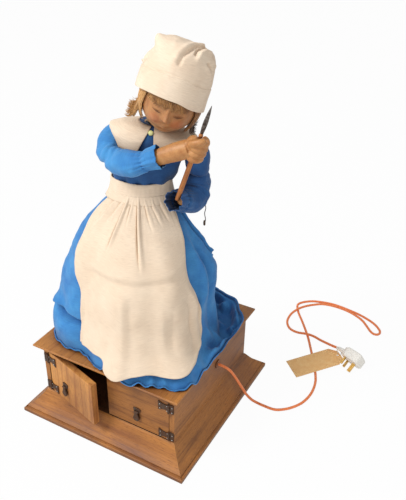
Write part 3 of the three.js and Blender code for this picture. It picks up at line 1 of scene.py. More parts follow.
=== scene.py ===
# %% [markdown]
# # An automaton doll on its cabinet
# The real object is a dressed figure on a pine cabinet. A motor inside turns two cams, which lift the
# arms and nod the head. The solids of every part come from a CAD model, which is loaded here as a fixed
# frame. Blender's share is what CAD does badly: cloth, hair, skin, wood grain, and the light on them.

# %% Load the frame
import math

import bpy
import numpy as np
from mathutils import Matrix, Vector, noise


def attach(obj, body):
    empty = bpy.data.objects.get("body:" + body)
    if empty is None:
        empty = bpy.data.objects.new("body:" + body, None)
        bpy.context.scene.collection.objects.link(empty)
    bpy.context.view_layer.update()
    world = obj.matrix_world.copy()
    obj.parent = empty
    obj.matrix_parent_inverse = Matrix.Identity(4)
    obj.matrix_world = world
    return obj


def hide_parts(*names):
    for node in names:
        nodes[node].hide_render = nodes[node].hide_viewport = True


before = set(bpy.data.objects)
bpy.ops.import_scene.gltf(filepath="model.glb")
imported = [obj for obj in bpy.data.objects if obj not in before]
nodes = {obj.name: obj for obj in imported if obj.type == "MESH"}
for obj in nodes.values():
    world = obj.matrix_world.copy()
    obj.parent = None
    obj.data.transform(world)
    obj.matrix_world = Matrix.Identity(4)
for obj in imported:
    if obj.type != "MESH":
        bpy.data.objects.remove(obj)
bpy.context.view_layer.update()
mm = 0.001

# %% [markdown]
# The photograph looks down on the cabinet's front from the right. The view's angles, lens and place were
# found by fitting the corners of the square plinth, so the camera only repeats them. A small roll
# completes it.

# %% Camera
view_turn = math.radians(27.924)
view_height = math.radians(30.975)
view_roll = math.radians(1.386)
camera_data = bpy.data.cameras.new("photo_camera")
camera_data.lens = 46.48
camera_data.sensor_width = 36
camera_data.clip_start = 0.05
camera = bpy.data.objects.new("photo_camera", camera_data)
bpy.context.scene.collection.objects.link(camera)
towards_viewer = Vector((
    math.sin(view_turn) * math.cos(view_height),
    -math.cos(view_turn) * math.cos(view_height),
    math.sin(view_height),
))
level_right = Vector((math.cos(view_turn), math.sin(view_turn), 0))
level_up = towards_viewer.cross(level_right)
picture_right = level_right * math.cos(view_roll) + level_up * math.sin(view_roll)
picture_up = level_up * math.cos(view_roll) - level_right * math.sin(view_roll)
camera_place = (0.6219, -0.9311, 1.0398)
camera_turn = Matrix((picture_right, picture_up, towards_viewer)).transposed().to_4x4()
camera.matrix_world = Matrix.Translation(camera_place) @ camera_turn
bpy.context.scene.camera = camera
print("camera at", tuple(round(v, 3) for v in camera.location))

# %% [markdown]
# A material is a graph of nodes. Short helpers keep the graphs readable: one starts a material with its
# plain values set on the shader, one adds a node and wires or fills its inputs, and the others are built
# on that one.

# %% Helpers for materials
def new_finish(name, roughness, metallic=0.0, sheen=0.0, colour=None):
    material = bpy.data.materials.new(name)
    material.use_nodes = True
    shader = material.node_tree.nodes["Principled BSDF"]
    shader.inputs["Roughness"].default_value = roughness
    shader.inputs["Metallic"].default_value = metallic
    shader.inputs["Sheen Weight"].default_value = sheen
    if colour:
        shader.inputs["Base Color"].default_value = linear(colour)
    return material, material.node_tree, shader


def linear(colour, alpha=1.0):
    """A screen colour of three numbers from 0 to 255 as the linear values that a shader takes."""
    parts = [c / 255 for c in colour]
    return tuple(c / 12.92 if c <= 0.04045 else ((c + 0.055) / 1.055) ** 2.4 for c in parts) + (alpha,)


def add_node(tree, kind, inputs=(), **settings):
    node = tree.nodes.new("ShaderNode" + kind)
    for key, value in settings.items():
        setattr(node, key, value)
    for key, value in dict(inputs).items():
        if isinstance(value, bpy.types.NodeSocket):
            tree.links.new(value, node.inputs[key])
        else:
            node.inputs[key].default_value = value
    return node


# %% Helpers for noise and colour
def ramp(tree, factor, *stops):
    """A colour ramp from pairs of position and screen colour."""
    node = add_node(tree, "ValToRGB", {"Fac": factor})
    elements = node.color_ramp.elements
    while len(elements) < len(stops):
        elements.new(0.5)
    for element, (position, colour) in zip(elements, stops):
        element.position = position
        element.color = linear(colour)
    return node.outputs["Color"]


def stretched(tree, scale, uv=False):
    """Texture coordinates scaled along each axis, from the object or from the cloth's own threads."""
    place = add_node(tree, "TexCoord").outputs["UV" if uv else "Object"]
    scale = (scale,) * 3 if isinstance(scale, float) else scale
    return add_node(tree, "VectorMath", {0: place, 1: scale}, operation="MULTIPLY").outputs[0]


def noise_on(tree, vector, scale, detail, roughness, distortion=0.0):
    return add_node(tree, "TexNoise", {
        "Vector": vector, "Scale": scale, "Detail": detail, "Roughness": roughness, "Distortion": distortion,
    }).outputs["Fac"]


def speckle(tree, scale, detail, roughness, distortion=0.0, uv=False):
    """Noise with one scale, or with three of them, one for each axis."""
    return noise_on(tree, stretched(tree, scale, uv), 1.0, detail, roughness, distortion)


def sums(tree, operation, a, b):
    return add_node(tree, "Math", {0: a, 1: b}, operation=operation).outputs[0]


def tint(tree, blend, factor, a, b):
    inputs = {"Factor": factor, 6: a, 7: b}
    return add_node(tree, "Mix", inputs, data_type="RGBA", blend_type=blend).outputs[2]


def darken(tree, colour, amount, mask, low, high):
    """The colour multiplied by a ramp over a mask, from two pairs of position and screen colour."""
    return tint(tree, "MULTIPLY", amount, colour, ramp(tree, mask, low, high))


def occlusion(tree, distance, samples=6, inside=False):
    """How open a place is: low in corners or, with inside, low near sharp edges."""
    node = add_node(tree, "AmbientOcclusion", {"Distance": distance}, samples=samples, inside=inside)
    return node.outputs["AO"]


def relief(tree, shader, height, strength, depth, under=None):
    bump = add_node(tree, "Bump", {"Height": height, "Strength": strength, "Distance": depth})
    if under:
        tree.links.new(under, bump.inputs["Normal"])
    tree.links.new(bump.outputs["Normal"], shader.inputs["Normal"])
    return bump.outputs["Normal"]


plain = (255, 255, 255)

# %% [markdown]
# The cabinet is old pine with an oiled, honey-brown surface. Wood looks right when its three scales are
# there: slow growth bands that run along the board, fine streaks, and short dark pores. All three are
# noise that is stretched along the grain, so each board gets a material for its own direction. An
# occlusion node darkens the colour in the corners, and a second one finds the edges, which are rubbed paler.
# The carved wood and the turned stick use the same graph with other colours.

# %% Pine
def pine_finish(name, grain_axis, light, dark, shift=0.0):
    material, tree, shader = new_finish(name, 0.5)

    def grained(across, along):
        """The scales of a noise that is stretched along the grain."""
        scales = [across] * 3
        scales[grain_axis] = along
        return scales

    moved = {0: stretched(tree, grained(46.0, 2.6)), 1: (shift, shift * 1.7, shift * 0.6)}
    growth = add_node(tree, "VectorMath", moved, operation="ADD").outputs[0]
    slow = noise_on(tree, growth, 0.45, 2.0, 0.4, 0.5)
    bands = sums(tree, "PINGPONG", sums(tree, "MULTIPLY", slow, 9.0), 1.0)
    fine = speckle(tree, grained(520.0, 14.0), 3.0, 0.6)
    pores = speckle(tree, grained(1300.0, 90.0), 1.0, 0.4)
    duller = tuple(c * 0.96 for c in light)
    mid = tuple(a * 0.72 + b * 0.28 for a, b in zip(light, dark))
    dark = tuple(a * 0.4 + b * 0.6 for a, b in zip(light, dark))
    colour = ramp(tree, bands, (0.0, light), (0.6, duller), (0.88, mid), (1.0, dark))
    colour = darken(tree, colour, 0.55, fine, (0.3, (190, 172, 150)), (0.7, (255, 252, 246)))
    patches = speckle(tree, 9.0, 3.0, 0.5, 0.3)
    colour = darken(tree, colour, 0.5, patches, (0.36, (150, 112, 78)), (0.6, (255, 250, 238)))
    colour = darken(tree, colour, 0.6, pores, (0.28, (120, 84, 56)), (0.4, plain))
    # Darker in the corners, where an occlusion node finds them
    colour = darken(tree, colour, 0.85, occlusion(tree, 0.02), (0.3, (92, 60, 38)), (0.85, plain))
    rubbed = ramp(tree, occlusion(tree, 0.0022, inside=True), (0.35, (60, 60, 60)), (0.7, (0, 0, 0)))
    colour = tint(tree, "SCREEN", rubbed, colour, linear((216, 164, 98)))
    tree.links.new(colour, shader.inputs["Base Color"])
    rough = add_node(tree, "MapRange", {"Value": patches, "To Min": 0.42, "To Max": 0.68}).outputs[0]
    tree.links.new(rough, shader.inputs["Roughness"])
    relief(tree, shader, sums(tree, "ADD", fine, sums(tree, "MULTIPLY", pores, 0.6)), 0.35, 0.0003)
    return material


honey, umber = (190, 126, 58), (122, 68, 28)
tan, walnut = (180, 120, 58), (104, 62, 26)
pine_x = pine_finish("pine_along_x", 0, honey, umber)
pine_y = pine_finish("pine_along_y", 1, tan, walnut, 3.0)
pine_door_left = pine_finish("pine_left_door", 2, (222, 158, 84), (156, 94, 42), 7.0)
pine_door_right = pine_finish("pine_right_door", 0, (172, 114, 54), (110, 64, 26), 11.0)
pine_top = pine_finish("pine_top", 1, (198, 134, 66), (138, 82, 36), 5.0)
# Painted shade: a darker copy of the pine for the cabinet's floor inside, where little light comes in
shaded_pine = pine_finish("pine_inside_shaded", 0, (120, 82, 54), (84, 54, 36), 2.0)
carved_wood = pine_finish("carved_limewood", 2, (206, 172, 128), (168, 128, 86), 4.0)
stick_wood = pine_finish("turned_stick", 2, (204, 132, 68), (160, 92, 40), 6.0)
print(sum(m.name.startswith("pine") for m in bpy.data.materials), "finishes of pine")

# %% [markdown]
# Metal parts differ mostly in colour and wear: blackened iron with brown rust on the hinges and pulls,
# bright turned steel on the shafts, brass on the gear and the plug's pins. One function makes them all:
# noise splits the surface in clean and worn places, and the worn ones are rougher and duller.

# %% Metals, paint and plastic
def worn_metal(name, clean, worn, roughness, metallic, spread=0.5, grain=900.0):
    material, tree, shader = new_finish(name, roughness, metallic)
    blotches = speckle(tree, 210.0, 5.0, 0.62)
    place = ramp(tree, blotches, (spread - 0.12, worn), (spread + 0.12, clean))
    tree.links.new(place, shader.inputs["Base Color"])
    rough = add_node(tree, "MapRange", {"Value": blotches, "From Min": 0.3, "From Max": 0.7,
                                        "To Min": min(1, roughness + 0.25), "To Max": roughness}).outputs[0]
    tree.links.new(rough, shader.inputs["Roughness"])
    relief(tree, shader, speckle(tree, grain, 3.0, 0.6), 0.25, 0.0002)
    return material


dark_iron = worn_metal("blackened_iron", (88, 76, 66), (98, 66, 48), 0.5, 0.75)
blade_iron = worn_metal("blade_iron", (112, 104, 98), (66, 56, 50), 0.38, 0.8)
turned_steel = worn_metal("turned_steel", (172, 172, 170), (140, 136, 130), 0.28, 0.95, 0.4)
old_brass = worn_metal("old_brass", (206, 166, 92), (168, 124, 62), 0.3, 0.95, 0.42)
motor_paint = worn_metal("motor_paint", (86, 94, 88), (58, 62, 60), 0.5, 0.2, 0.4)
white_plastic = worn_metal("white_plastic", (255, 251, 242), (254, 246, 234), 0.45, 0.0, 0.36, 16.0)
bush_brown = worn_metal("bush_brown", (138, 88, 54), (110, 68, 42), 0.5, 0.0)
orange_sheath = worn_metal("orange_sheath", (248, 140, 80), (234, 120, 66), 0.42, 0.0, 0.4, 1400.0)
pale_button = worn_metal("pale_button", (222, 220, 150), (190, 190, 120), 0.3, 0.0, 0.4, 700.0)
print(len(bpy.data.materials), "finishes so far")

# %% [markdown]
# Each solid that keeps its CAD shape now gets its finish, and a bevel modifier rounds the hard edges of
# the outer boards, the doors, the plug, the hip block and the bearings. The modifier leaves the mesh
# itself alone. On real wood no edge is perfectly sharp, and the thin line of light along it is what makes
# a board look solid.

# %% Finishes for the CAD pieces that stay
finish_of = {
    "plinth_front": pine_x, "plinth_back": pine_x, "plinth_left": pine_y, "plinth_right": pine_y,
    "side_panel_left": pine_y, "side_panel_right": pine_y, "back_panel": pine_x, "floor_panel": shaded_pine,
    "top_board": pine_top, "door_left": pine_door_left, "door_right": pine_door_right,
    "drive_gear": old_brass, "motor_pinion": turned_steel, "camshaft": turned_steel, "motor": motor_paint,
    "bearing_left": carved_wood, "bearing_right": carved_wood, "hip_block": carved_wood,
    "torso_block": carved_wood, "figure_post": carved_wood, "cord_bush": bush_brown,
    "arm_rod": turned_steel, "head_rod": turned_steel, "nod_lever": turned_steel,
    "shoulder_shaft": turned_steel,
    "plug_earth_pin": old_brass, "plug_line_pin": old_brass, "plug_neutral_pin": old_brass,
    "plug_body": white_plastic, "collar_button": pale_button,
}
for name in nodes:
    if name.startswith(("door_leaf", "frame_leaf", "pull_plate", "drop_pull")):
        finish_of[name] = dark_iron


def give(piece, material):
    piece.data.materials.clear()
    piece.data.materials.append(material)


def round_edges(piece, width):
    bevel = piece.modifiers.new("rounded_edges", "BEVEL")
    bevel.width = width
    bevel.segments = 2
    bevel.limit_method = "ANGLE"
    bevel.angle_limit = math.radians(35)


edge_width = {"plinth": 0.0012, "side": 0.0008, "back": 0.0008, "top": 0.0016, "door_left": 0.0012,
              "door_right": 0.0012, "plug_body": 0.0012, "hip": 0.002, "bearing": 0.0006}
for name, material in finish_of.items():
    give(nodes[name], material)
    for start, width in edge_width.items():
        if name.startswith(start) and not name.startswith("door_leaf"):
            round_edges(nodes[name], width)
print(len(finish_of), "CAD pieces keep their shape")

# %% [markdown]
# The figure stands turned by 22 degrees on its cabinet, so everything on it is drawn in the figure's own
# directions, in millimetres, and turned into place at the end. Cloth, skin and hair are made as grids
# of points: rows down the piece and columns round it. A grid knows its own width and length, and that
# gives the thread directions for the weave.

# %% Helpers that place a piece
turn_array = np.array(Matrix.Rotation(math.radians(22), 3, "Z"))


def in_place(points):
    """Points of the figure's own frame in millimetres, as places in the row frame in metres."""
    return np.asarray(points, float) @ turn_array.T * mm


def placed(name, data, body, slot, replaces=()):
    """An object of a mesh or a curve. It rides on a body, and it may replace solids of the CAD model."""
    piece = bpy.data.objects.new(name, data)
    bpy.context.scene.collection.objects.link(piece)
    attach(piece, body)
    if replaces:
        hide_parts(*replaces)
    return piece


def new_piece(name, vertices, faces, material, body, **words):
    data = bpy.data.meshes.new(name)
    data.from_pydata([tuple(v) for v in vertices], [], faces)
    data.validate()
    data.materials.append(material)
    data.shade_smooth()
    return placed(name, data, body, **words)


# %% Helpers for grids
def distances(points):
    """How far along a line of points each of them lies."""
    return np.concatenate([[0], np.cumsum(np.linalg.norm(np.diff(points, axis=0), axis=1))])


def quads(rows, columns, wraps, start=0):
    """The faces of a grid of points. With wraps, the last column joins the first."""
    faces = []
    for i in range(rows - 1):
        this = start + i * columns
        below = this + columns
        for j in range(columns if wraps else columns - 1):
            k = (j + 1) % columns
            faces.append((this + j, below + j, below + k, this + k))
    return faces


def grid_piece(name, places, material, body, wraps=False, figure=True, **words):
    """A piece from an array of rows x columns x 3, in the figure's frame or in the row frame."""
    places = np.asarray(places, float)
    rows, columns = places.shape[:2]
    flat = places.reshape(-1, 3)
    vertices = in_place(flat) if figure else flat * mm
    piece = new_piece(name, vertices, quads(rows, columns, wraps), material, body, **words)
    across, down = distances(places[rows // 2]), distances(places[:, columns // 2])
    step = across[-1] / max(1, columns - 1)
    threads = piece.data.uv_layers.new(name="threads")
    for face in piece.data.polygons:
        ring = [vertex % columns for vertex in face.vertices]
        far = wraps and max(ring) - min(ring) > 1
        for loop, vertex in zip(face.loop_indices, face.vertices):
            column = vertex % columns
            u = across[column] if not (far and column == 0) else across[-1] + step
            threads.data[loop].uv = (u * mm, down[vertex // columns] * mm)
    return piece


def thicken(piece, thickness, offset=-1.0):
    shell = piece.modifiers.new("cloth_thickness", "SOLIDIFY")
    shell.thickness = thickness
    shell.offset = offset


def settle_modifiers(piece):
    """Turns a piece's modifiers into its mesh."""
    graph = bpy.context.evaluated_depsgraph_get()
    made = bpy.data.meshes.new_from_object(piece.evaluated_get(graph))
    piece.modifiers.clear()
    piece.data = made
    made.shade_smooth()


# %% Helpers for curves and folds
def through(at, spots, values, period=None):
    """A smooth curve through a table of values. With a period, the table closes on itself."""
    spots, values = np.asarray(spots, float), np.asarray(values, float)
    if period:
        at = np.mod(at, period)
        spots = np.concatenate([spots[-3:] - period, spots, spots[:3] + period])
        values = np.concatenate([values[-3:], values, values[:3]])
    at = np.clip(at, spots[0], spots[-1])
    slopes = np.gradient(values, spots)
    i = np.clip(np.searchsorted(spots, at, side="right") - 1, 0, len(spots) - 2)
    span = spots[i + 1] - spots[i]
    t = (at - spots[i]) / span
    return (values[i] * (1 + 2 * t) * (1 - t) ** 2 + slopes[i] * span * t * (1 - t) ** 2
            + values[i + 1] * t * t * (3 - 2 * t) + slopes[i + 1] * span * t * t * (t - 1))


def crumple(places, size, seed):
    """Soft noise from -1 to 1 for each point of a grid, at folds of about that size in millimetres."""
    flat = places.reshape(-1, 3) / size
    shift = Vector((seed * 7.3, seed * 3.1, seed * 5.7))
    return np.array([noise.noise(Vector(p) + shift) for p in flat]).reshape(places.shape[:-1])


def bell(at, middle, width):
    return np.exp(-(((at - middle) / width) ** 2))


def ease(at, low, high):
    t = np.clip((at - low) / (high - low), 0, 1)
    return t * t * (3 - 2 * t)


def turns(count):
    """Angles once round, without the last, which would fall on the first."""
    return np.linspace(0, 2 * np.pi, count, endpoint=False)


def grid(down, across):
    """Two arrays for a piece: the values down its rows and the values across its columns."""
    return np.meshgrid(down, across, indexing="ij")


def outward_way(angle, rise=0):
    return np.stack([np.cos(angle), np.sin(angle), rise + 0 * angle], -1)


print("the figure's front looks along", (-turn_array[:, 1]).round(3))

# %% [markdown]
# The dress is plain-woven blue cotton, the cap, collar and apron are a slightly heavier cream cotton.
# The weave is two crossing waves along the threads, less than a millimetre apart, used only as relief.
# Broad noise gives the uneven dye and the soft creases that ironing leaves. Cotton is dull, and a little
# sheen on the shader gives the pale bloom where it turns away.

# %% Cotton
thread_gap = 0.0008


def cotton_finish(name, light, shade, crease=0.5, sheen=0.15, fold_shade=(168, 142, 116), reach=0.02):
    material, tree, shader = new_finish(name, 0.88, sheen=sheen)
    shader.inputs["Sheen Roughness"].default_value = 0.5
    shader.inputs["Specular IOR Level"].default_value = 0.25
    threads = stretched(tree, (1 / thread_gap, 1 / thread_gap, 1), uv=True)
    warp = add_node(tree, "TexWave", {"Vector": threads, "Scale": 0.32}, bands_direction="X").outputs["Fac"]
    weft = add_node(tree, "TexWave", {"Vector": threads, "Scale": 0.32}, bands_direction="Y").outputs["Fac"]
    weave = sums(tree, "MULTIPLY", warp, weft)
    dye = speckle(tree, 26.0, 5.0, 0.55, 0.4)
    slub = speckle(tree, (60.0, 1400.0, 1.0), 2.0, 0.5, uv=True)
    colour = ramp(tree, dye, (0.3, shade), (0.68, light))
    colour = darken(tree, colour, 0.35, slub, (0.35, (214, 210, 204)), (0.6, plain))
    # Painted shade: an occlusion node mixes the colour towards a darker one in folds and where other parts
    # lie close
    folds = ramp(tree, occlusion(tree, reach, 8), (0.1, (225, 225, 225)), (0.88, (0, 0, 0)))
    colour = tint(tree, "MIX", folds, colour, linear(fold_shade))
    tree.links.new(colour, shader.inputs["Base Color"])
    creases = speckle(tree, (70.0, 70.0, 38.0), 3.0, 0.5, 1.2)
    under = relief(tree, shader, creases, crease, 0.002)
    relief(tree, shader, weave, 0.3, 0.0002, under)
    return material


# Colours of the painted shade in the folds of the cottons
dress_fold_shade, cream_fold_shade, collar_fold_shade = (14, 32, 86), (190, 162, 134), (120, 82, 46)
blue_cotton = cotton_finish("blue_cotton", (76, 150, 210), (54, 120, 188), fold_shade=dress_fold_shade, reach=0.07)
# Painted shade: a darker copy of the blue cotton for the bodice and the left sleeve, which lie in shade
shaded_cotton = cotton_finish("shaded_blue_cotton", (50, 98, 152), (36, 76, 130), fold_shade=(12, 24, 60), reach=0.07)
cream_cotton = cotton_finish("cream_cotton", (242, 221, 196), (235, 212, 186), crease=0.15, sheen=0.08,
                             fold_shade=cream_fold_shade)
# Painted shade: the collar's part under the chin and its folds turn dark tan
collar_cotton = cotton_finish("collar_cotton", (243, 223, 198), (233, 210, 184), crease=0.25,
                              fold_shade=collar_fold_shade, reach=0.06)
cap_cotton = cotton_finish("cap_cotton", (246, 226, 202), (238, 214, 188), crease=0.3, sheen=0.08)
print("five cottons woven")

# %% [markdown]
# The skirt is a full bell that is gathered at the waist and lies in a loose heap on the top board. It is
# drawn as one grid round the figure. The form comes from two profiles, one for each side, and a reach of
# the hem for every 15 degrees. Folds are added where the photograph shows them, and the last rows become
# the rim, which stands up a little on the board and droops where it hangs over the board's edge.

# %% The skirt's form
waist_height, waist_width, waist_depth, neck_height, hem_reach = 525, 107, 68, 641, 195
board_top, board_half, skirt_top = 177, 173.5, 523
post_x, post_y, foot_x, foot_y = -4, -10, 4, -8
hem_shares = [0.98, 1, 0.99, 0.96, 0.89, 0.84, 0.81, 0.79, 0.78, 0.78, 0.79, 0.86,
              0.94, 1.02, 0.92, 0.8, 0.81, 0.88, 0.93, 0.95, 1.05, 0.97, 0.91, 0.94]
level_spots = [0, 0.07, 0.13, 0.2, 0.28, 0.37, 0.48, 0.6, 0.72, 0.83, 0.93, 1]
left_shares = [0, 0.05, 0.21, 0.37, 0.505, 0.615, 0.71, 0.795, 0.885, 0.955, 0.99, 1]
right_shares = [0, 0.02, 0.09, 0.19, 0.31, 0.44, 0.58, 0.63, 0.595, 0.7, 0.9, 1]


def oval(angle, half_width, half_depth):
    return half_width * half_depth / np.hypot(half_depth * np.cos(angle), half_width * np.sin(angle))


def skirt_axis(level):
    """The middle of the skirt's rings, from the post's place at the waist to the foot's middle."""
    return np.stack([post_x + (foot_x - post_x) * level, post_y + (foot_y - post_y) * level], -1)


def skirt_place(level, angle, outward, fold_share=1.0):
    """Places of the skirt, from levels of 0 at the waist to 1 at the board, and angles round it."""
    waist = oval(angle, waist_width / 2, waist_depth / 2)
    side = (1 + np.cos(angle)) / 2
    left, right = through(level, level_spots, left_shares), through(level, level_spots, right_shares)
    share = left * (1 - side) + right * side
    reach = hem_reach * through(np.degrees(angle) / 15, np.arange(24), hem_shares, period=24)
    fold = 7 * np.minimum(1, level * 1.4) * np.sin(12 * angle + np.sin(angle * 2) + level) * np.sqrt(level)
    fold *= 1 - 0.75 * ease(level, 0.72, 1)
    radius = waist + (reach - waist) * share + fold * fold_share + outward
    middle = skirt_axis(level)
    x, y = middle[..., 0] + radius * np.cos(angle), middle[..., 1] + radius * np.sin(angle)
    return np.stack([x, y, skirt_top + (board_top + 0.8 - skirt_top) * level + 0 * angle], -1)


def angle_gap(angle, degrees):
    """The degrees from an angle of the grid to a given one, from -180 to 180."""
    return (np.degrees(angle) - degrees + 180) % 360 - 180


print("the skirt falls", skirt_top - board_top, "mm")


# %% The skirt's folds
skirt_columns, skirt_rows = 300, 120
level_grid, angle_grid = grid(np.linspace(0, 1, skirt_rows), turns(skirt_columns))
# Each fold: its angle and its width in degrees, its height in millimetres, and its first and last level
skirt_folds = [
    (186, 7, 5, 0.3, 1.0), (200, 5, -4, 0.5, 1.0), (172, 8, 6, 0.2, 0.9), (150, 6, -9, 0.25, 1.0),
    (132, 8, 9, 0.2, 1.0), (112, 6, -10, 0.2, 1.0), (92, 7, 9, 0.2, 1.0), (70, 5, -10, 0.2, 1.0),
    (52, 7, 9, 0.15, 1.0), (33, 5, -9, 0.1, 0.8), (22, 6, 6, 0.45, 1.0), (10, 4, -6, 0.5, 0.9),
    (-4, 6, 6, 0.5, 0.9), (-14, 4, -11, 0.22, 0.8), (-25, 5, 8, 0.2, 0.9), (-36, 4, -8, 0.4, 0.95),
]
fold_outward = np.zeros_like(level_grid)
for degrees, width, height, start, end in skirt_folds:
    share = ease(level_grid, start, start + 0.25) * (1 - 0.8 * ease(level_grid, end - 0.25, end))
    offset = angle_gap(angle_grid, degrees + 6 * np.sin(level_grid * 5 + degrees))
    fold_outward += height * share * bell(offset, 0, width)
gathers = np.sin(angle_grid * 52 + 1.5 * np.sin(angle_grid * 5)) * 1.3 * np.exp(-level_grid / 0.1)
gathers *= ease(level_grid, 0, 0.03)
# The placket is a dark slit down the right flank, whose lower lip stands off
slit = angle_gap(angle_grid, 0.5 + 26 * (level_grid - 0.17))
slit_share = ease(level_grid, 0.12, 0.18) * (1 - ease(level_grid, 0.44, 0.46))
placket = (5.0 * bell(slit, 5.0, 3.0) + 3.0 * bell(slit, -4.5, 2.5) - 9.5 * bell(slit, 0, 2.1)) * slit_share
placket += 6 * bell(slit, 2, 6) * bell(level_grid, 0.445, 0.012)
placket -= 2 * bell(slit, 2, 7) * bell(level_grid, 0.475, 0.016)
# At the left the cloth doubles back: a flap sticks out over a crease, and a bulge rests on the board
flap = 17 * bell(angle_gap(angle_grid, 197), 0, 6) * bell(level_grid, 0.737, 0.017)
crease = -24 * bell(level_grid, 0.785 + 0.0014 * angle_gap(angle_grid, 205), 0.022)
crease *= bell(angle_gap(angle_grid, 208), 0, 14)
bulge = 9 * bell(angle_gap(angle_grid, 200), 0, 17) * bell(level_grid, 0.87, 0.07)
skirt_outward = fold_outward + gathers + placket + flap + crease + bulge
skirt_places = skirt_place(level_grid, angle_grid, skirt_outward, 0.75)
skirt_way = outward_way(angle_grid)
soft = ease(level_grid, 0.03, 0.25)
ripples = crumple(skirt_places, 42, 1) * 4.5 * soft + crumple(skirt_places, 16, 2) * 1.3 * soft
skirt_places += skirt_way * ripples[..., None]
skirt_radius = np.linalg.norm(skirt_places[..., :2] - skirt_axis(level_grid), axis=-1)
print(len(skirt_folds), "large folds")


# %% The skirt's foot
def pile_down(level, angle, folds=1.0):
    """At the right the cloth piles up: it sinks to the board inside a standing rim."""
    gap = angle_gap(angle, 8)
    pool = bell(gap, 0, np.where(gap < 0, 36, 62)) ** 0.8
    sunk = through(level, [0.6, 0.72, 0.79, 0.86, 0.92, 0.96, 1], [0, 12, 44, 48, 24, -8, -24])
    wrinkles = 9 * np.sin(level * 46 + angle * 5 + 2 * np.sin(angle * 9))
    wrinkles *= ease(level, 0.66, 0.76) * ease(level, 1, 0.93)
    # Short folds run out over the front edge
    hem_folds = 6 * np.sin(angle * 19 + 2 * np.sin(angle * 7))
    hem_folds += 4 * np.sin(angle * 37 + 3 * np.sin(angle * 5))
    hem_folds *= folds * ease(level, 0.9, 0.97) * bell(angle_gap(angle, 268), 0, 70)
    return pool * (sunk + wrinkles) + hem_folds


def lie_on_board(places):
    """Cloth near the board rests on it, and what reaches past the board's edge droops."""
    places[..., 2] = np.maximum(places[..., 2], board_top + 1.2)
    turned = places @ turn_array.T
    low = ease(places[..., 2], board_top + 34, board_top + 4)
    past = np.abs(turned[..., :2]) - board_half
    kept = np.where(past > 2, 2 + (past - 2) * (1 - 0.72 * low[..., None]), past)
    turned[..., :2] = np.sign(turned[..., :2]) * (board_half + kept)
    turned[..., 2] -= np.clip((past - kept).max(-1), 0, 30) * 0.8
    return turned @ turn_array


skirt_places[..., 2] -= pile_down(level_grid, angle_grid)
heap = bell(angle_gap(angle_grid, 12), 0, 40) * ease(level_grid, 0.66, 0.8) * ease(level_grid, 1, 0.94)
pressed = skirt_places * (1, 1, 0.2)
skirt_places[..., 2] += heap * (crumple(pressed, 26, 21) * 26 + crumple(pressed, 12, 22) * 8)
rim_rows, rim_angles, hem = 9, angle_grid[-1], skirt_places[-1]
rim_pool = bell(angle_gap(rim_angles, 8), 0, 46)
rim_lift = 3.5 + 1.5 * np.sin(rim_angles * 7 + 1) + 1.2 * np.sin(rim_angles * 11 + 2) + 8 * rim_pool
rim = [hem]
for t in np.arange(1, rim_rows) / (rim_rows - 1):
    step = hem.copy()
    step[:, :2] += skirt_way[-1][:, :2] * (3.4 * math.sin(t * 2.7))
    step[:, 2] += rim_lift * math.sin(t * 2.2) - 8 * rim_pool * t ** 3
    rim.append(step)
skirt_all = lie_on_board(np.concatenate([skirt_places[:-1], np.stack(rim)], 0))
skirt = grid_piece("skirt_cloth", skirt_all, blue_cotton, "cabinet_and_figure", wraps=True,
                   replaces=["skirt"], slot="blue_cotton")
thicken(skirt, 0.0011)
skirt_area = sum(face.area for face in skirt.data.polygons)
print("skirt", len(skirt.data.vertices), "points,", round(skirt_area, 3), "square metres")

# %% [markdown]
# The apron is a gathered panel on a waistband. Just under the band it has many small tucks, two of them run
# on as long sharp pleats, and the panel swells over the skirt and drops from that swelling in calm folds.
# Its edges are given as angles round the skirt, level by level, as the photograph shows them.

# %% The apron's edges and swelling
apron_spots = [0, 0.13, 0.24, 0.35, 0.44, 0.56, 0.72, 0.82, 0.93]
apron_left = [198, 197, 203, 206, 209, 216, 219, 220, 221]
apron_right = [352, 344, 338, 328, 321, 326, 332, 328, 303]
down, across = grid(np.linspace(0.035, 1, 150), np.linspace(0, 1, 190))
# The hem hangs lower in the middle than at its two corners
foot_level = through(across, [0, 0.2, 0.33, 0.385, 0.45, 0.55, 0.67, 0.82, 0.93, 1],
                     [0.905, 0.9, 0.9, 0.945, 0.96, 0.94, 0.918, 0.925, 0.92, 0.9])
apron_level = down * foot_level
left_edge = np.radians(through(apron_level, apron_spots, apron_left))
right_edge = np.radians(through(apron_level, apron_spots, apron_right))
apron_angle = left_edge * (1 - across) + right_edge * across
apron_degrees = np.degrees(apron_angle)
# The cloth swells below the band and ends in a soft shelf, which climbs at the right
shelf = through(apron_degrees, [200, 255, 293, 315, 335, 350], [0.42, 0.415, 0.4, 0.37, 0.31, 0.28])
swell = 7.5 * (1 - ease(apron_level, shelf - 0.02, shelf + 0.035))
swell *= ease(apron_level, shelf - 0.26, shelf - 0.06)
swell *= ease(apron_degrees, 205, 240)
swell += 3 * bell(apron_level, 0.2, 0.1) * bell(apron_degrees, 330, 22)
print("the apron spans", round(float(np.ptp(apron_degrees))), "degrees")

# %% The apron's tucks, pleats and drops
tucks = np.sin(across * 150 + 2.2 * np.sin(across * 21)) * (0.6 + 0.4 * np.sin(across * 37)) * 1.6
tucks = tucks * np.exp(-apron_level / 0.062) * ease(apron_level, 0.03, 0.07)
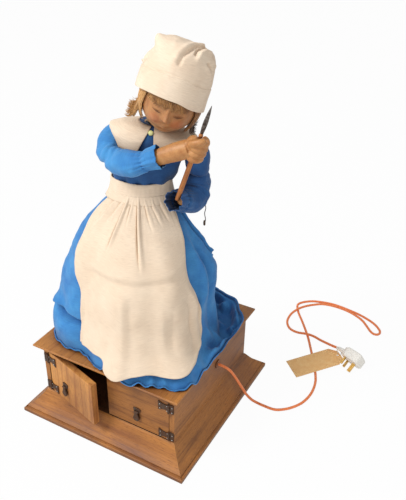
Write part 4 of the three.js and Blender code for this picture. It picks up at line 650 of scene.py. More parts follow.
# Each pleat: its angle at the top and at the foot, its first and last level, its depth and half its width
apron_pleats = [
    (244, 240, 0.05, 0.31, 8.0, 1.7), (270, 277, 0.05, 0.37, 8.0, 1.7), (232, 222, 0.06, 0.2, 3.2, 3.0),
    (255, 256, 0.05, 0.17, 2.4, 2.0), (285, 294, 0.05, 0.2, 2.6, 2.2), (300, 308, 0.05, 0.18, 2.4, 2.6),
    (318, 322, 0.05, 0.17, 2.4, 2.8), (216, 207, 0.06, 0.26, 3.4, 3.4),
]
pleat_outward = np.zeros_like(down)
for top, foot, start, end, depth, width in apron_pleats:
    t = np.clip((apron_level - start) / (end - start), 0, 1.3)
    offset = apron_degrees - (top + (foot - top) * t)
    strength = ease(apron_level, start - 0.02, start + 0.03) * (1 - ease(t, 0.55, 1.05))
    ridge, hollow = bell(offset, width * 1.3, width * 1.5), bell(offset, -width * 0.1, width * 0.75)
    pleat_outward += strength * depth * (0.8 * ridge - hollow)
drops = 10 * bell(apron_degrees, 262, np.where(apron_degrees < 262, 16, 5))
drops += 6 * bell(apron_degrees, 291, np.where(apron_degrees < 291, 10, 4)) * bell(apron_level, 0.72, 0.14)
drops += 9 * bell(apron_degrees, 322, 5) - 11 * bell(apron_degrees, 307, 9) * bell(apron_level, 0.7, 0.17)
drops *= ease(apron_level, 0.42, 0.56)
drops += 6 * ease(apron_level, 0.82, 0.95)
print(len(apron_pleats), "pleats")


# %% The apron's panel
def skirt_reach(level, angle):
    """How far out the skirt lies at a level and an angle, read between the points of its grid."""
    row_at = np.clip(level * (skirt_rows - 1), 0, skirt_rows - 1.001)
    column_at = np.mod(angle / (2 * np.pi) * skirt_columns, skirt_columns)
    row, column = row_at.astype(int), column_at.astype(int)
    down_part, round_part = row_at - row, column_at - column
    here, after = column % skirt_columns, (column + 1) % skirt_columns
    upper = skirt_radius[row, here] * (1 - round_part) + skirt_radius[row, after] * round_part
    lower = skirt_radius[row + 1, here] * (1 - round_part) + skirt_radius[row + 1, after] * round_part
    return upper * (1 - down_part) + lower * down_part


# Near its two side edges the panel lies close on the skirt
inside = ease(across, 0, 0.06) * ease(across, 1, 0.94)
apron_outward = 1.5 + (4 + swell + tucks + pleat_outward + drops) * inside
apron_places = skirt_place(apron_level, apron_angle, apron_outward, 0.35)
apron_way = outward_way(apron_angle)
ripples = crumple(apron_places, 70, 3) * 2.2 * ease(apron_level, 0.1, 0.3)
ripples += crumple(apron_places, 22, 4) * 0.3
apron_places += apron_way * ripples[..., None]
# It lies on the skirt, so wherever the skirt comes further out, the apron is pushed out too
apron_radius = np.linalg.norm(apron_places[..., :2] - skirt_axis(apron_level), axis=-1)
short = skirt_reach(apron_level, apron_angle) + 2.6 - apron_radius
apron_places += apron_way * (0.5 * (short + np.sqrt(short ** 2 + 3)))[..., None]
apron_places[..., 2] -= pile_down(apron_level, apron_angle, 0.0)
apron = grid_piece("apron_panel", apron_places, cream_cotton, "cabinet_and_figure",
                   replaces=["apron"], slot="cream_cotton")
thicken(apron, 0.0012, 1.0)
print("apron panel", round(sum(face.area for face in apron.data.polygons), 3), "square metres")

# %% The waistband
band_angles = turns(160)
band_rows = []
for height, outward in ((496, 5.8), (496.5, 8.0), (499, 8.3), (505, 7.6), (514, 6.4), (524, 5.4),
                        (531, 5.2), (534.5, 4.6), (535.5, 3.2), (534, 1.8), (522, 1.0)):
    level = max(0, (skirt_top - height) / (skirt_top - board_top)) + 0 * band_angles
    place = skirt_place(level, band_angles, outward + 0.35 * np.sin(band_angles * 31 + height), 0.0)
    place[:, 2] = height + 1.2 * np.sin(band_angles * 2 + 1)
    band_rows.append(place)
waistband = grid_piece("waistband", np.stack(band_rows), cream_cotton, "cabinet_and_figure", wraps=True,
                       slot="cream_cotton")
print("waistband of", len(band_rows), "rows")

# %% [markdown]
# The bodice is a close-fitting shell over the carved body. It is drawn with the same rings as the solid,
# with creases that pull from the armholes towards the waist. A flat collar lies on its shoulders, open
# at the throat, with a narrow rolled edge.

# %% The bodice
torso_foot, torso_head = np.array([post_x, post_y, waist_height]), np.array([24, -8, neck_height])
torso_spots = [0, 0.1, 0.22, 0.42, 0.6, 0.78, 0.88, 0.95, 1]
torso_widths = [0.97, 1.05, 1.12, 1.16, 1.21, 1.32, 1.38, 1.02, 0.45]
torso_depths = [0.94, 1.03, 1.12, 1.24, 1.26, 1.18, 1.0, 0.82, 0.62]


def torso_place(level, angle, outward):
    radius = oval(angle, np.interp(level, torso_spots, torso_widths) * waist_width / 2,
                  np.interp(level, torso_spots, torso_depths) * waist_depth / 2) + outward
    level = np.asarray(level, float) + 0 * radius
    centre = torso_foot + (torso_head - torso_foot) * level[..., None]
    x, y = radius * np.cos(angle), radius * np.sin(angle)
    return centre + np.stack([x, y, -(x * 0.14 * level)], -1)


down, around = grid(np.linspace(0, 1, 70), turns(150))
pulls = 2.2 * np.sin(around * 9 + down * 7) * bell(down, 0.12, 0.14)
pulls += 1.2 * np.sin(around * 5 - down * 9) * bell(down, 0.55, 0.3)
bodice_places = torso_place(down, around, 0.4 + pulls)
bodice_places += outward_way(around) * (crumple(bodice_places, 26, 5) * 1.6)[..., None]
# Its top closes in to the carved neck
neck_ring = np.array([28.5, -9.9, 639.5]) + outward_way(around[0]) * 15.4
closing = [bodice_places[-1] * (1 - t) + neck_ring * t for t in (0.35, 0.7, 1.0)]
bodice_places = np.concatenate([bodice_places, np.stack(closing)], 0)
bodice = grid_piece("bodice_cloth", bodice_places, shaded_cotton, "cabinet_and_figure", wraps=True,
                    replaces=["bodice"], slot="blue_cotton")
thicken(bodice, 0.001)
print("bodice of", len(bodice.data.vertices), "points")

# %% The collar
collar_top, collar_foot = 0.998, 0.63
collar_depth = [1.12, 1.1, 0.42, 0.6, 0.7, 0.6, 0.4, 1.1, 1.12]
down, part = grid(np.linspace(0, 1, 30), np.linspace(0, 1, 170))
reach = down * np.interp(part, np.linspace(0, 1, 9), collar_depth)
collar_level = collar_top - (collar_top - collar_foot) * reach
opening = np.radians(6 + 13 * reach)
collar_angle = opening - np.pi / 2 + (2 * np.pi - 2 * opening) * part
flare = 4 * np.minimum(1, reach) * np.cos(collar_angle) ** 2
rolled_edge = bell(down, 1, 0.03) - 1.2 * bell(down, 0.93, 0.03)
collar_outward = 2.4 + flare + rolled_edge + 1.2 * np.sin(collar_angle * 6 + 1) * down
collar_places = torso_place(collar_level, collar_angle, collar_outward)
collar = grid_piece("collar_cloth", collar_places, collar_cotton, "cabinet_and_figure",
                    replaces=["collar"], slot="cream_cotton")
thicken(collar, 0.0016, 1.0)
print("bodice and collar drawn")

# %% [markdown]
# A sleeve or an arm is a tube round a path. The tube's rings must not twist, so each ring carries the
# last one's direction along. What makes cloth of a tube is what happens round it: gathers where it is
# sewn in, an elastic that pinches it near the hand, and a ruffle that opens after the elastic.

# %% Tubes round a path
shoulder_middle = np.array([22, -5, 603])


def arm_path(shares, count):
    """Places and radii along an arm, from shares of 100 mm measured from the shoulder shaft's middle."""
    table = np.asarray(shares, float) * 100
    steps = distances(table[:, :3])
    at = np.linspace(0, steps[-1], count)
    columns = [through(at, steps, table[:, k]) for k in range(4)]
    return np.stack(columns[:3], -1) + shoulder_middle, columns[3]


def tube_rings(path, radii, columns, wave=None):
    """Rings round a path. wave(t, angle) is added to the radius, in millimetres."""
    side = np.array([0.0, 1.0, 0.0])
    angles = turns(columns)
    rings = []
    for i, centre in enumerate(path):
        along = path[min(i + 1, len(path) - 1)] - path[max(i - 1, 0)]
        along = along / np.linalg.norm(along)
        side = side - along * side.dot(along)
        side = side / np.linalg.norm(side)
        over = np.cross(along, side)
        radius = radii[i] + (wave(i / (len(path) - 1), angles) if wave else 0 * angles)
        ring = np.outer(np.cos(angles) * radius, side)
        rings.append(centre + ring + np.outer(np.sin(angles) * radius, over))
    return np.stack(rings)


right_arm_shares = [
    [-0.76, -0.01, 0.1, 0.08], [-0.82, -0.04, 0.07, 0.1], [-0.83, -0.2, -0.03, 0.1],
    [-0.76, -0.4, -0.14, 0.105], [-0.55, -0.6, -0.18, 0.105], [-0.26, -0.76, -0.12, 0.115],
    [0.08, -0.85, 0.01, 0.135], [0.36, -0.89, 0.13, 0.15], [0.58, -0.91, 0.22, 0.165],
    [0.75, -0.92, 0.28, 0.165],
]
left_arm_shares = [
    [0.72, 0, -0.1, 0.08], [0.76, 0.01, -0.15, 0.1], [0.79, 0.02, -0.41, 0.1], [0.8, 0.02, -0.71, 0.1],
    [0.79, -0.05, -0.93, 0.11], [0.76, -0.23, -1.04, 0.105], [0.64, -0.41, -0.95, 0.09],
    [0.57, -0.56, -0.87, 0.09], [0.54, -0.68, -0.79, 0.085],
]
right_sleeve_shares = [
    [-0.56, 0, 0.12, 0.18], [-0.7, -0.04, 0.11, 0.2], [-0.79, -0.15, 0.03, 0.2], [-0.8, -0.3, -0.08, 0.2],
    [-0.69, -0.46, -0.15, 0.2], [-0.52, -0.6, -0.18, 0.22], [-0.33, -0.7, -0.16, 0.23],
    [-0.14, -0.78, -0.1, 0.205], [0, -0.83, -0.03, 0.165], [0.08, -0.85, 0.01, 0.175],
    [0.25, -0.88, 0.08, 0.19],
]
left_sleeve_shares = [
    [0.6, 0, -0.02, 0.17], [0.7, 0, -0.09, 0.21], [0.77, 0.01, -0.23, 0.225], [0.79, 0.02, -0.43, 0.215],
    [0.79, 0.03, -0.6, 0.21], [0.8, 0, -0.8, 0.24], [0.75, -0.16, -0.97, 0.25], [0.68, -0.34, -0.98, 0.225],
    [0.6, -0.49, -0.91, 0.2], [0.52, -0.62, -0.84, 0.18], [0.46, -0.76, -0.79, 0.175],
]
print(len(right_arm_shares), "places along the right arm,", len(left_arm_shares), "along the left")


# %% The sleeves
def make_sleeve(name, shares, elastic, elbow, node, cotton, notch=0.0):
    """A gathered sleeve. Its elastic and its elbow are shares of the way along it."""
    path, radii = arm_path(shares, 110)

    def wave(t, angle):
        sewn = 1.5 * np.sin(angle * 15 + np.sin(angle * 3)) * np.exp(-t / 0.07)
        pinch = -2.6 * bell(t, elastic, 0.014)
        puckers = 1.3 * np.sin(angle * 17 + 2 * np.sin(angle * 2)) * np.exp(-abs(t - elastic) / 0.07)
        open_share = max(0.0, (t - elastic) / (1 - elastic))
        ruffle = 1.5 * (np.sin(angle * 7 + 1) + 0.6 * np.sin(angle * 12)) * open_share
        bend = 1.8 * np.sin(angle * 2 + t * 30) * bell(t, elbow, 0.12)
        creases = 1.4 * np.sin(t * 75 + 2.5 * np.sin(angle * 2 + 1)) * bell(t, elbow, 0.09)
        dent = -notch * bell(t, 0.34, 0.022) * (0.6 - 0.4 * np.sin(angle))
        return sewn + pinch + puckers + ruffle + bend + creases + dent

    rings = tube_rings(path, radii, 110, wave)
    way = rings - path[:, None, :]
    way = way / np.linalg.norm(way, axis=2, keepdims=True)
    large, small = crumple(rings, 24, len(name)) * 2.4, crumple(rings, 9, len(name) + 3) * 0.7
    rings += way * (large + small)[..., None]
    sleeve = grid_piece(name, rings, cotton, "arms", wraps=True, replaces=[node], slot="blue_cotton")
    thicken(sleeve, 0.0009)
    return sleeve


right_sleeve = make_sleeve("right_sleeve_cloth", right_sleeve_shares, 0.83, 0.4, "right_sleeve", blue_cotton)
left_sleeve = make_sleeve("left_sleeve_cloth", left_sleeve_shares, 0.86, 0.5, "left_sleeve", shaded_cotton,
                          notch=6.0)
print("sleeves sewn in and gathered")

# %% [markdown]
# The arms, hands and head are moulded and painted in a warm tan, rosy on the cheeks and darker in the
# hollows. A fist is easiest to build from overlapping tubes for the palm, the fingers and the thumb. A
# voxel remesh melts them into one skin, and a smoothing pass leaves soft creases between the fingers.

# %% Painted skin
def near(tree, centre, radius, soft=0.5):
    """A mask that is 1 near a point of the row frame and fades out at the radius, both in millimetres."""
    place = add_node(tree, "TexCoord").outputs["Object"]
    centre = tuple(c * mm for c in centre)
    gap = add_node(tree, "VectorMath", {0: place, 1: centre}, operation="DISTANCE").outputs["Value"]
    fade = {"Value": gap, "From Min": radius * soft * mm, "From Max": radius * mm,
            "To Min": 1.0, "To Max": 0.0}
    return add_node(tree, "MapRange", fade, interpolation_type="SMOOTHSTEP").outputs[0]


def skin_finish(name, light, dark, spots=()):
    """Painted skin. Each spot on it has a centre, a radius, a strength and a colour."""
    material, tree, shader = new_finish(name, 0.5)
    colour = ramp(tree, speckle(tree, 70.0, 5.0, 0.6, 0.4), (0.32, dark), (0.64, light))
    fine = speckle(tree, 520.0, 3.0, 0.6)
    colour = darken(tree, colour, 0.3, fine, (0.3, (206, 190, 172)), (0.6, plain))
    for centre, radius, strength, spot in spots:
        mask = sums(tree, "MULTIPLY", near(tree, centre, radius), strength)
        colour = tint(tree, "MIX", mask, colour, linear(spot))
    colour = darken(tree, colour, 0.75, occlusion(tree, 0.006), (0.2, (128, 82, 56)), (0.8, plain))
    tree.links.new(colour, shader.inputs["Base Color"])
    shader.inputs["Subsurface Weight"].default_value = 0.04
    relief(tree, shader, fine, 0.2, 0.0003)
    return material


hand_skin = skin_finish("painted_hands", (198, 142, 86), (172, 114, 62))
print("skin painted with", len(hand_skin.node_tree.nodes), "nodes")

# %% The arms and hands
tool_tip, tool_end = np.array([134.4, -112, 712.0]), np.array([73.3, -76, 523.6])
tool_way = (tool_tip - tool_end) / np.linalg.norm(tool_tip - tool_end)


def tool_at(share):
    return tool_end + (tool_tip - tool_end) * share


def joined_tubes(tubes):
    """Vertices and faces of many closed tubes, one after another."""
    vertices, faces, start = [], [], 0
    for rings in tubes:
        rows, columns = rings.shape[:2]
        faces.extend(quads(rows, columns, True, start))
        faces.append(tuple(start + j for j in range(columns)))
        faces.append(tuple(start + (rows - 1) * columns + j for j in reversed(range(columns))))
        vertices.append(rings.reshape(-1, 3))
        start += rows * columns
    return np.concatenate(vertices), faces


def finger_rings(table, columns=14, count=18):
    """A rounded tube through places with radii, which closes in a dome at both ends."""
    table = np.asarray(table, float)
    steps = distances(table[:, :3])
    at = np.linspace(0, steps[-1], count)
    path = np.stack([through(at, steps, table[:, k]) for k in range(3)], -1)
    ends = np.minimum(at, steps[-1] - at) / table[:, 3].mean()
    radii = np.interp(at, steps, table[:, 3])
    radii = radii * np.sqrt(np.clip(1 - (1 - np.clip(ends * 1.4, 0, 1)) ** 2, 0.06, 1))
    return tube_rings(path, radii, columns)


def melted(name, tubes, node):
    """Tubes of the arms, melted into one painted skin that stands for a node of the CAD model."""
    vertices, faces = joined_tubes(tubes)
    piece = new_piece(name, in_place(vertices), faces, hand_skin, "arms", replaces=[node],
                      slot="painted_skin")
    melt = piece.modifiers.new("melt", "REMESH")
    melt.mode = "VOXEL"
    melt.voxel_size = 0.0011
    calm = piece.modifiers.new("calm", "SMOOTH")
    calm.factor = 0.5
    calm.iterations = 8
    settle_modifiers(piece)
    return piece


# %% The hands
out_way = np.array([1.0, 0, 0]) - tool_way * tool_way[0]
out_way /= np.linalg.norm(out_way)
front_way = np.cross(out_way, tool_way)
fist_centre = tool_at(0.585)


def on_fist(out, front, along, radius, scale=1.07):
    return [*(fist_centre + (out_way * out + front_way * front + tool_way * along) * scale), radius * scale]


fingers = []
for row, reach in ((-15, 0.9), (-5, 1.0), (5, 1.03), (15, 0.96)):
    bend = [(-7, 8), (-3, 12.5), (6, 12.5 * reach), (12.5 * reach, 6), (11 * reach, -5), (4, -9)]
    fingers.append(finger_rings([on_fist(o, f, row, 5.6 - 0.12 * k) for k, (o, f) in enumerate(bend)]))
palm = finger_rings([
    on_fist(-6, 1, -19, 9), on_fist(-7, 1, -8, 11.5), on_fist(-7, 1, 8, 11.5), on_fist(-6, 1, 19, 9)], 20)
thumb = finger_rings([
    on_fist(-12, 6, 6, 7), on_fist(-6, 13, 14, 6.4), on_fist(3, 14.5, 21, 5.8), on_fist(10, 11, 25, 4.6)])
right_forearm = tube_rings(*arm_path(right_arm_shares, 60), 24)
left_forearm = tube_rings(*arm_path(left_arm_shares[:-1], 60), 24)
right_hand = melted("right_arm_and_hand", [right_forearm, palm, thumb, *fingers], "right_arm")
left_hand = melted("left_arm_and_hand", [left_forearm], "left_arm")
print("hands melted to", len(right_hand.data.vertices), "and", len(left_hand.data.vertices), "points")

# %% [markdown]
# What the doll holds is a slim turned stick with a pointed dark blade. Both are round or lens shaped, so
# they are drawn as rings along one line.

# %% The tool
def straight_rings(start, end, table, columns=24, flat=1.0, flat_way=None):
    """Rings along a line, from pairs of share along it and radius. flat squashes them along flat_way."""
    along = (end - start) / np.linalg.norm(end - start)
    side = flat_way if flat_way is not None else np.cross(along, [0, 0, 1.0])
    side = side - along * side.dot(along)
    side = side / np.linalg.norm(side)
    over = np.cross(along, side)
    angles = turns(columns)
    return np.stack([start + (end - start) * share + np.outer(np.cos(angles) * radius, over)
                     + np.outer(np.sin(angles) * radius * flat, side) for share, radius in table])


handle_profile = [
    (0, 0.05), (0, 2.6), (0.006, 3.9), (0.02, 4.3), (0.2, 4.45), (0.5, 4.3), (0.8, 3.95), (0.93, 3.6),
    (0.94, 3.2), (0.955, 3.2), (0.96, 3.7), (0.985, 3.7), (0.99, 3.0), (1, 2.8), (1, 0.05),
]
blade_profile = [
    (0, 0.05), (0, 2.8), (0.04, 2.9), (0.1, 3.2), (0.2, 3.7), (0.32, 4.0), (0.45, 3.9), (0.6, 3.3),
    (0.75, 2.5), (0.88, 1.4), (0.97, 0.5), (1, 0.05),
]
grid_piece("tool_stick", straight_rings(tool_end, tool_at(0.725), handle_profile), stick_wood, "arms",
           wraps=True, replaces=["tool_handle"], slot="stick_wood")
blade_rings = straight_rings(tool_at(0.722), tool_tip, blade_profile, 28, 0.3, front_way)
grid_piece("tool_point", blade_rings, blade_iron, "arms", wraps=True, replaces=["tool_blade"],
           slot="dark_iron")
print("stick and point drawn")

# %% [markdown]
# The head is a rounded form in its own tilted frame: x to the viewer's right, -y forward, z up. Its
# features are low and childlike. They are added as smooth bumps and hollows, whose widths are a few
# millimetres, on a grid fine enough to hold them.

# %% The head's frame and form
head_angles = ((20, "Y"), (18, "X"), (6, "Z"))
lean, nod, turn = (Matrix.Rotation(math.radians(angle), 3, axis) for angle, axis in head_angles)
head_array = np.array(lean @ nod @ turn)
head_centre, head_half = np.array([57, -38, 693.0]), np.array([50, 49, 55.0])
eye_gap = 18.5
# Each form of the face: how far it rises, its place across and up, and its width and height
face_forms = [
    (8, 0, -2, 5.5, 6.5), (3.4, 0, 8, 4, 11), (2.2, -5.5, -4, 3.6, 3.6), (2.2, 5.5, -4, 3.6, 3.6),
    (3.5, 0, -42, 12, 8), (2.2, 0, -19.5, 8, 2.6), (2.4, 0, -25, 6.5, 2.8),
    (-1.5, 0, -22.4, 9, 0.9), (-1.6, 0, -31, 9, 3),
]
for side in (-1, 1):
    face_forms += [
        (3.2, side * 22, -13, 12, 12), (-3.6, side * 18, 10, 10, 8),
        (3.0, side * eye_gap, 9, 7.5, 5), (1.6, side * 19, 22, 13, 3.5),
    ]


def from_head(points):
    return np.asarray(points, float) @ head_array.T + head_centre


def head_row(x, y, z):
    """A place of the head's frame in the row frame, in millimetres."""
    return tuple(turn_array @ from_head((x, y, z)))


# %% The head
def head_places(down, around):
    """down runs from 0 at the crown to 1 under the chin, around from -pi at the back over 0 at the nose."""
    polar = down * np.pi
    nx, ny, nz = np.sin(polar) * np.sin(around), -np.sin(polar) * np.cos(around), np.cos(polar)
    jaw = np.where(nz < 0, 1 - 0.12 * nz ** 2, 1)
    x, z = nx * head_half[0] * jaw, nz * head_half[2]
    y = ny * head_half[1] * jaw - np.where(nz < 0, 5 * nz ** 2, 0)
    front = np.clip(-2 * ny, 0, 1)
    rise = sum(height * np.exp(-((x - at_x) / width) ** 2 - ((z - at_z) / tall) ** 2)
               for height, at_x, at_z, width, tall in face_forms)
    for eye in (-eye_gap, eye_gap):
        lash = 4.8 + 0.022 * (x - eye) ** 2
        rise -= 1.3 * np.exp(-((x - eye) / 8) ** 4) * bell(z, lash, 0.9)
    return np.stack([x, y - front * rise, z], -1)


lip = (180, 86, 62)
# Each spot of paint: its place in the head's frame, its radius, its strength and its colour
face_paint = [
    ((-21, -47, -12), 16, 0.3, (196, 104, 66)), ((22, -47, -12), 16, 0.35, (196, 100, 62)),
    ((0, -55, -22.5), 7, 0.5, lip), ((-4.5, -55, -22.5), 4.5, 0.35, lip),
    ((4.5, -55, -22.5), 4.5, 0.35, lip),
    ((-18.5, -50, 6), 9, 0.35, (138, 88, 56)), ((18.5, -50, 6), 9, 0.4, (134, 84, 52)),
    ((0, -60, -5), 7, 0.3, (178, 100, 62)),
]
head_skin = skin_finish("painted_head", (192, 138, 88), (162, 106, 62),
                        [(head_row(*place), *rest) for place, *rest in face_paint])
head_grid = grid(np.linspace(0.004, 0.996, 170), np.linspace(-np.pi, np.pi, 220, endpoint=False))
head = grid_piece("moulded_head", from_head(head_places(*head_grid)), head_skin, "head_set", wraps=True,
                  replaces=["head"], slot="painted_skin")
print("head of", len(head.data.vertices), "points")


# %% The lashes
def face_depth(x, z):
    """How far forward the face lies at a place seen from the front."""
    nx, nz = x / head_half[0], z / head_half[2]
    return -head_half[1] * math.sqrt(max(0.05, 1 - nx * nx - nz * nz))


lash_brown = worn_metal("lash_brown", (96, 62, 42), (80, 50, 34), 0.7, 0.0)
for eye, word in ((-eye_gap, "right"), (eye_gap, "left")):
    lash = [(eye + x, face_depth(eye + x, 4.6 + 0.022 * x * x) - 0.6, 4.6 + 0.022 * x * x)
            for x in np.linspace(-8.5, 8.5, 18)]
    radii = 0.55 * np.sin(np.linspace(0.15, np.pi - 0.15, len(lash)))
    grid_piece(f"{word}_lash", tube_rings(from_head(lash), radii, 8), lash_brown, "head_set", wraps=True,
               slot="brown_hair")
print("two lashes painted")

# %% [markdown]
# The hair is a fringe of fine brown strands that comes out of the cap, golden where the light falls. A
# close under-layer hides the scalp, and a second one hides the nape. Over them lie more than a thousand
# strands, each a thin tapered tube that runs down the head and turns out, or in, at its end.

# %% Hair
def hair_finish(name, gold, brown, lit=None):
    material, tree, shader = new_finish(name, 0.42, sheen=0.1)
    locks = speckle(tree, (120.0, 120.0, 26.0), 3.0, 0.55)
    fine = speckle(tree, (1500.0, 1500.0, 120.0), 2.0, 0.5)
    colour = ramp(tree, locks, (0.32, brown), (0.66, gold))
    colour = darken(tree, colour, 0.6, fine, (0.3, (150, 130, 108)), (0.65, plain))
    if lit:
        mask = sums(tree, "MULTIPLY", near(tree, *lit), 0.7)
        colour = tint(tree, "MIX", mask, colour, linear((236, 184, 116)))
    tree.links.new(colour, shader.inputs["Base Color"])
    relief(tree, shader, fine, 0.6, 0.0006)
    return material


# Painted light: the brown hair is golden on its lit side, and the two curls get a lit and a shaded copy of
# the hair
brown_hair = hair_finish("brown_hair", (206, 152, 88), (146, 96, 48), (head_row(-55, -10, -10), 60, 0.3))
shaded_hair = hair_finish("shaded_hair", (118, 84, 50), (66, 44, 24))
lit_hair = hair_finish("lit_hair", (228, 178, 112), (182, 130, 70))
hair_low = -38


def scalp(around, z, outward):
    """A place on the scalp at a height of the head's frame, grown outward."""
    half_x, half_y, half_z = (half + outward for half in head_half)
    nz = np.clip(z / half_z, -0.98, 0.98)
    ring = np.sqrt(1 - nz ** 2)
    return np.stack([half_x * ring * np.sin(around), -half_y * ring * np.cos(around), z + 0 * around], -1)


hair_start, hair_end = math.radians(62), math.radians(298)
level, around = grid(np.linspace(34, hair_low + 2, 26), np.linspace(hair_start, hair_end, 110))
under_places = from_head(scalp(around, level, 3.2 + 0.7 * np.sin(around * 60)))
under_hair = grid_piece("hair_layer", under_places, brown_hair, "head_set",
                        replaces=["hair"], slot="brown_hair")
thicken(under_hair, 0.0012, 1.0)
# The hair at the nape falls behind the neck's pivot and hides it
fall, turn = grid(np.linspace(0, 1, 14), np.radians(np.linspace(-8, 188, 90)))
nape_reach = 25 - 6 * ease(fall, 0, 0.8) + 0.5 * np.sin(turn * 46 + 2 * np.sin(turn * 9 + fall * 3))
nape = np.stack([30 + nape_reach * np.cos(turn), -10 + nape_reach * np.sin(turn),
                 675 - 26 * fall + 1.2 * np.sin(turn * 13) * fall], -1)
nape_hair = grid_piece("hair_nape", nape, brown_hair, "head_set", slot="brown_hair")
thicken(nape_hair, 0.0014, 1.0)
print("two under-layers of hair")

# %% The strands
random_at = np.random.default_rng(7)


def strand_piece(name, strands, material):
    """Many tapered strands, each a list of places in the head's frame, as one piece."""
    tubes = []
    for places in strands:
        taper = np.interp(np.linspace(0, 1, len(places)), [0, 0.15, 0.7, 1], [0.5, 0.68, 0.62, 0.12])
        tubes.append(tube_rings(from_head(places), taper, 4))
    points, faces = joined_tubes(tubes)
    new_piece(name, in_place(points), faces, material, "head_set", slot="brown_hair")
    print(len(strands), "strands in", name)


def falling(turn, start, foot, lift, flip):
    """One strand that falls close to the head, and turns out by flip at its end."""
    t = np.linspace(0, 1, 9)
    sway = 0.05 * np.sin(t * 4 + start) + random_at.uniform(-0.04, 0.04) * t
    return scalp(turn + sway, start + (foot - start) * t, lift + flip * t ** 3)


def curling(table):
    """One strand of a curl: it drops close to the head and turns outward and up at its end."""
    table = np.asarray(table, float)
    size, shift = random_at.uniform(0.3, 1.12), random_at.uniform(-6, 6)
    t = np.linspace(0, 1, 10)
    x = np.interp(t, np.linspace(0, 1, len(table)), table[:, 0] - table[0, 0]) * size + table[0, 0]
    z = np.interp(t, np.linspace(0, 1, len(table)), table[:, 1]) + shift * t + 7 * (1 - size) * t
    y = random_at.uniform(-22, 16) + 3.5 * np.sin(t * 4 + size * 19) * t
    return np.stack([x + 0.8 * np.sin(t * 9 + shift), y, z], -1)


falls = []
for k in range(560):
    degrees = random_at.uniform(58, 302)
    if 90 < degrees < 270 or random_at.uniform() < 0.6:
        at_side = math.exp(-((abs(degrees - 180) - 100) / 26) ** 2)
        start, foot = random_at.uniform(14, 26), hair_low + random_at.uniform(-6, 4) - 3 * at_side
        lift, flip = random_at.uniform(3.4, 5.6), random_at.uniform(0.6, 1.1) * 3 * at_side + 1.0
        falls.append(falling(math.radians(degrees), start, foot, lift, flip))
strand_piece("hair_strands", falls, brown_hair)
fringe = [falling(math.radians(random_at.uniform(-58, 40)), 30, random_at.uniform(12, 22),
                  random_at.uniform(0.6, 1.8), 0.4) for k in range(220)]
strand_piece("hair_fringe", fringe, brown_hair)
flip_right = [(-47, 4), (-50.5, -9), (-51.5, -20), (-52.5, -31), (-55.5, -39), (-61, -42), (-66, -39)]
flip_left = [(45, -2), (47.5, -12), (48, -22), (48.5, -31), (50.5, -36), (54, -37), (57, -34)]
strand_piece("hair_curl_right", [curling(flip_right) for k in range(420)], lit_hair)
strand_piece("hair_curl_left", [curling(flip_left) for k in range(260)], shaded_hair)

# %% [markdown]
# The cap is a tall soft crown over a faint band, and it leans back on the hair. Its top isn't round: the
# cloth rises to a corner at one side and folds over at the other. Each fold follows a line of places on
# the crown, with a bulge on one side of the line and a hollow on the other.

# %% The cap
cap_array = np.array(Matrix.Rotation(math.radians(-27), 3, "X"))
cap_heights = [0, 8, 26, 46, 68, 84, 94, 100, 102, 102.5]
cap_widths = [61.5, 61.5, 61, 60.5, 58, 53, 44, 29, 12, 0.4]
cap_depths = [62, 63, 64, 64, 61, 54, 43, 28, 11, 0.4]
cap_steps = np.concatenate([[0], np.cumsum(np.hypot(np.diff(cap_heights), np.diff(cap_widths)))])


def from_cap(points):
    return from_head(np.asarray(points, float) @ cap_array.T + np.array([-3, 0, 0]))


def cap_places(down, around):
    """down runs from 0 at the top of the crown to 1 at the brim."""
    at = (1 - down) * cap_steps[-1]
    half_width, half_depth = through(at, cap_steps, cap_widths), through(at, cap_steps, cap_depths)
    radius = oval(around, np.maximum(half_width, 0.5), np.maximum(half_depth, 0.5))
    height = through(at, cap_steps, cap_heights)
    return np.stack([radius * np.cos(around), radius * np.sin(around), height], -1)


def beside(line, width, shift=0):
    """1 on the crown along a line of places, which can be shifted, and 0 some widths away from it."""
    line = np.asarray(line, float) + shift
    nearest = np.full(crown.shape[:-1], 1e9)
    for a, b in zip(line[:-1], line[1:]):
        t = np.clip(((crown - a) @ (b - a)) / ((b - a) @ (b - a)), 0, 1)
        nearest = np.minimum(nearest, np.linalg.norm(crown - (a + t[..., None] * (b - a)), axis=-1))
    return bell(nearest, 0, width)


# %% The cap's folds
down, around = grid(np.linspace(0, 1, 130), turns(220))
crown = cap_places(down, around)
height = crown[..., 2]
band_edge = 40 + 9 * bell(angle_gap(around, 262), 0, 42)
outward = 0.9 * (1 - ease(height, band_edge - 0.8, band_edge + 0.8))
outward -= 0.7 * bell(height, band_edge + 1.5, 1.2) + 0.5 * bell(height, band_edge - 3.5, 0.6)
# The left side is drawn in below the corner, and a small tuft of cloth stands off it
outward -= 8 * bell(angle_gap(around, 196), 0, 36) * bell(height, 74, 12)
outward += 6 * bell(np.linalg.norm(crown - np.array([-48, -8, 90.0]), axis=-1), 0, 10)
outward += 5.5 * beside([(-58, -22, 50), (-58, -14, 49)], 2.6)
outward -= 3 * beside([(-56, -26, 58), (-58, -12, 57)], 5)
main_fold = [(-8, -59, 70), (-6, -54.5, 82), (4, -43, 94), (13, -25, 99), (27, -12, 99)]
small_fold = [(16, -46.5, 88), (17, -39, 94), (23, -26, 98), (31, -20, 97)]
outward += 2.6 * beside(main_fold, 5, (-5, 2, 2)) - 2.8 * beside(main_fold, 3, (3, -2, -1))
outward += 3 * beside(small_fold, 4.5, (6, -3, -4)) - 4 * beside(small_fold, 2.4)
for dent in ([(44, -20, 90), (50, -12, 84)], [(40, -38, 80), (46, -33, 75)]):
    outward -= 4 * beside(dent, 3) - 2.5 * beside(dent, 4, (1, -3, -7))
creases = crumple(crown, 34, 11) * 2.4 + crumple(crown, 13, 12) * 0.8
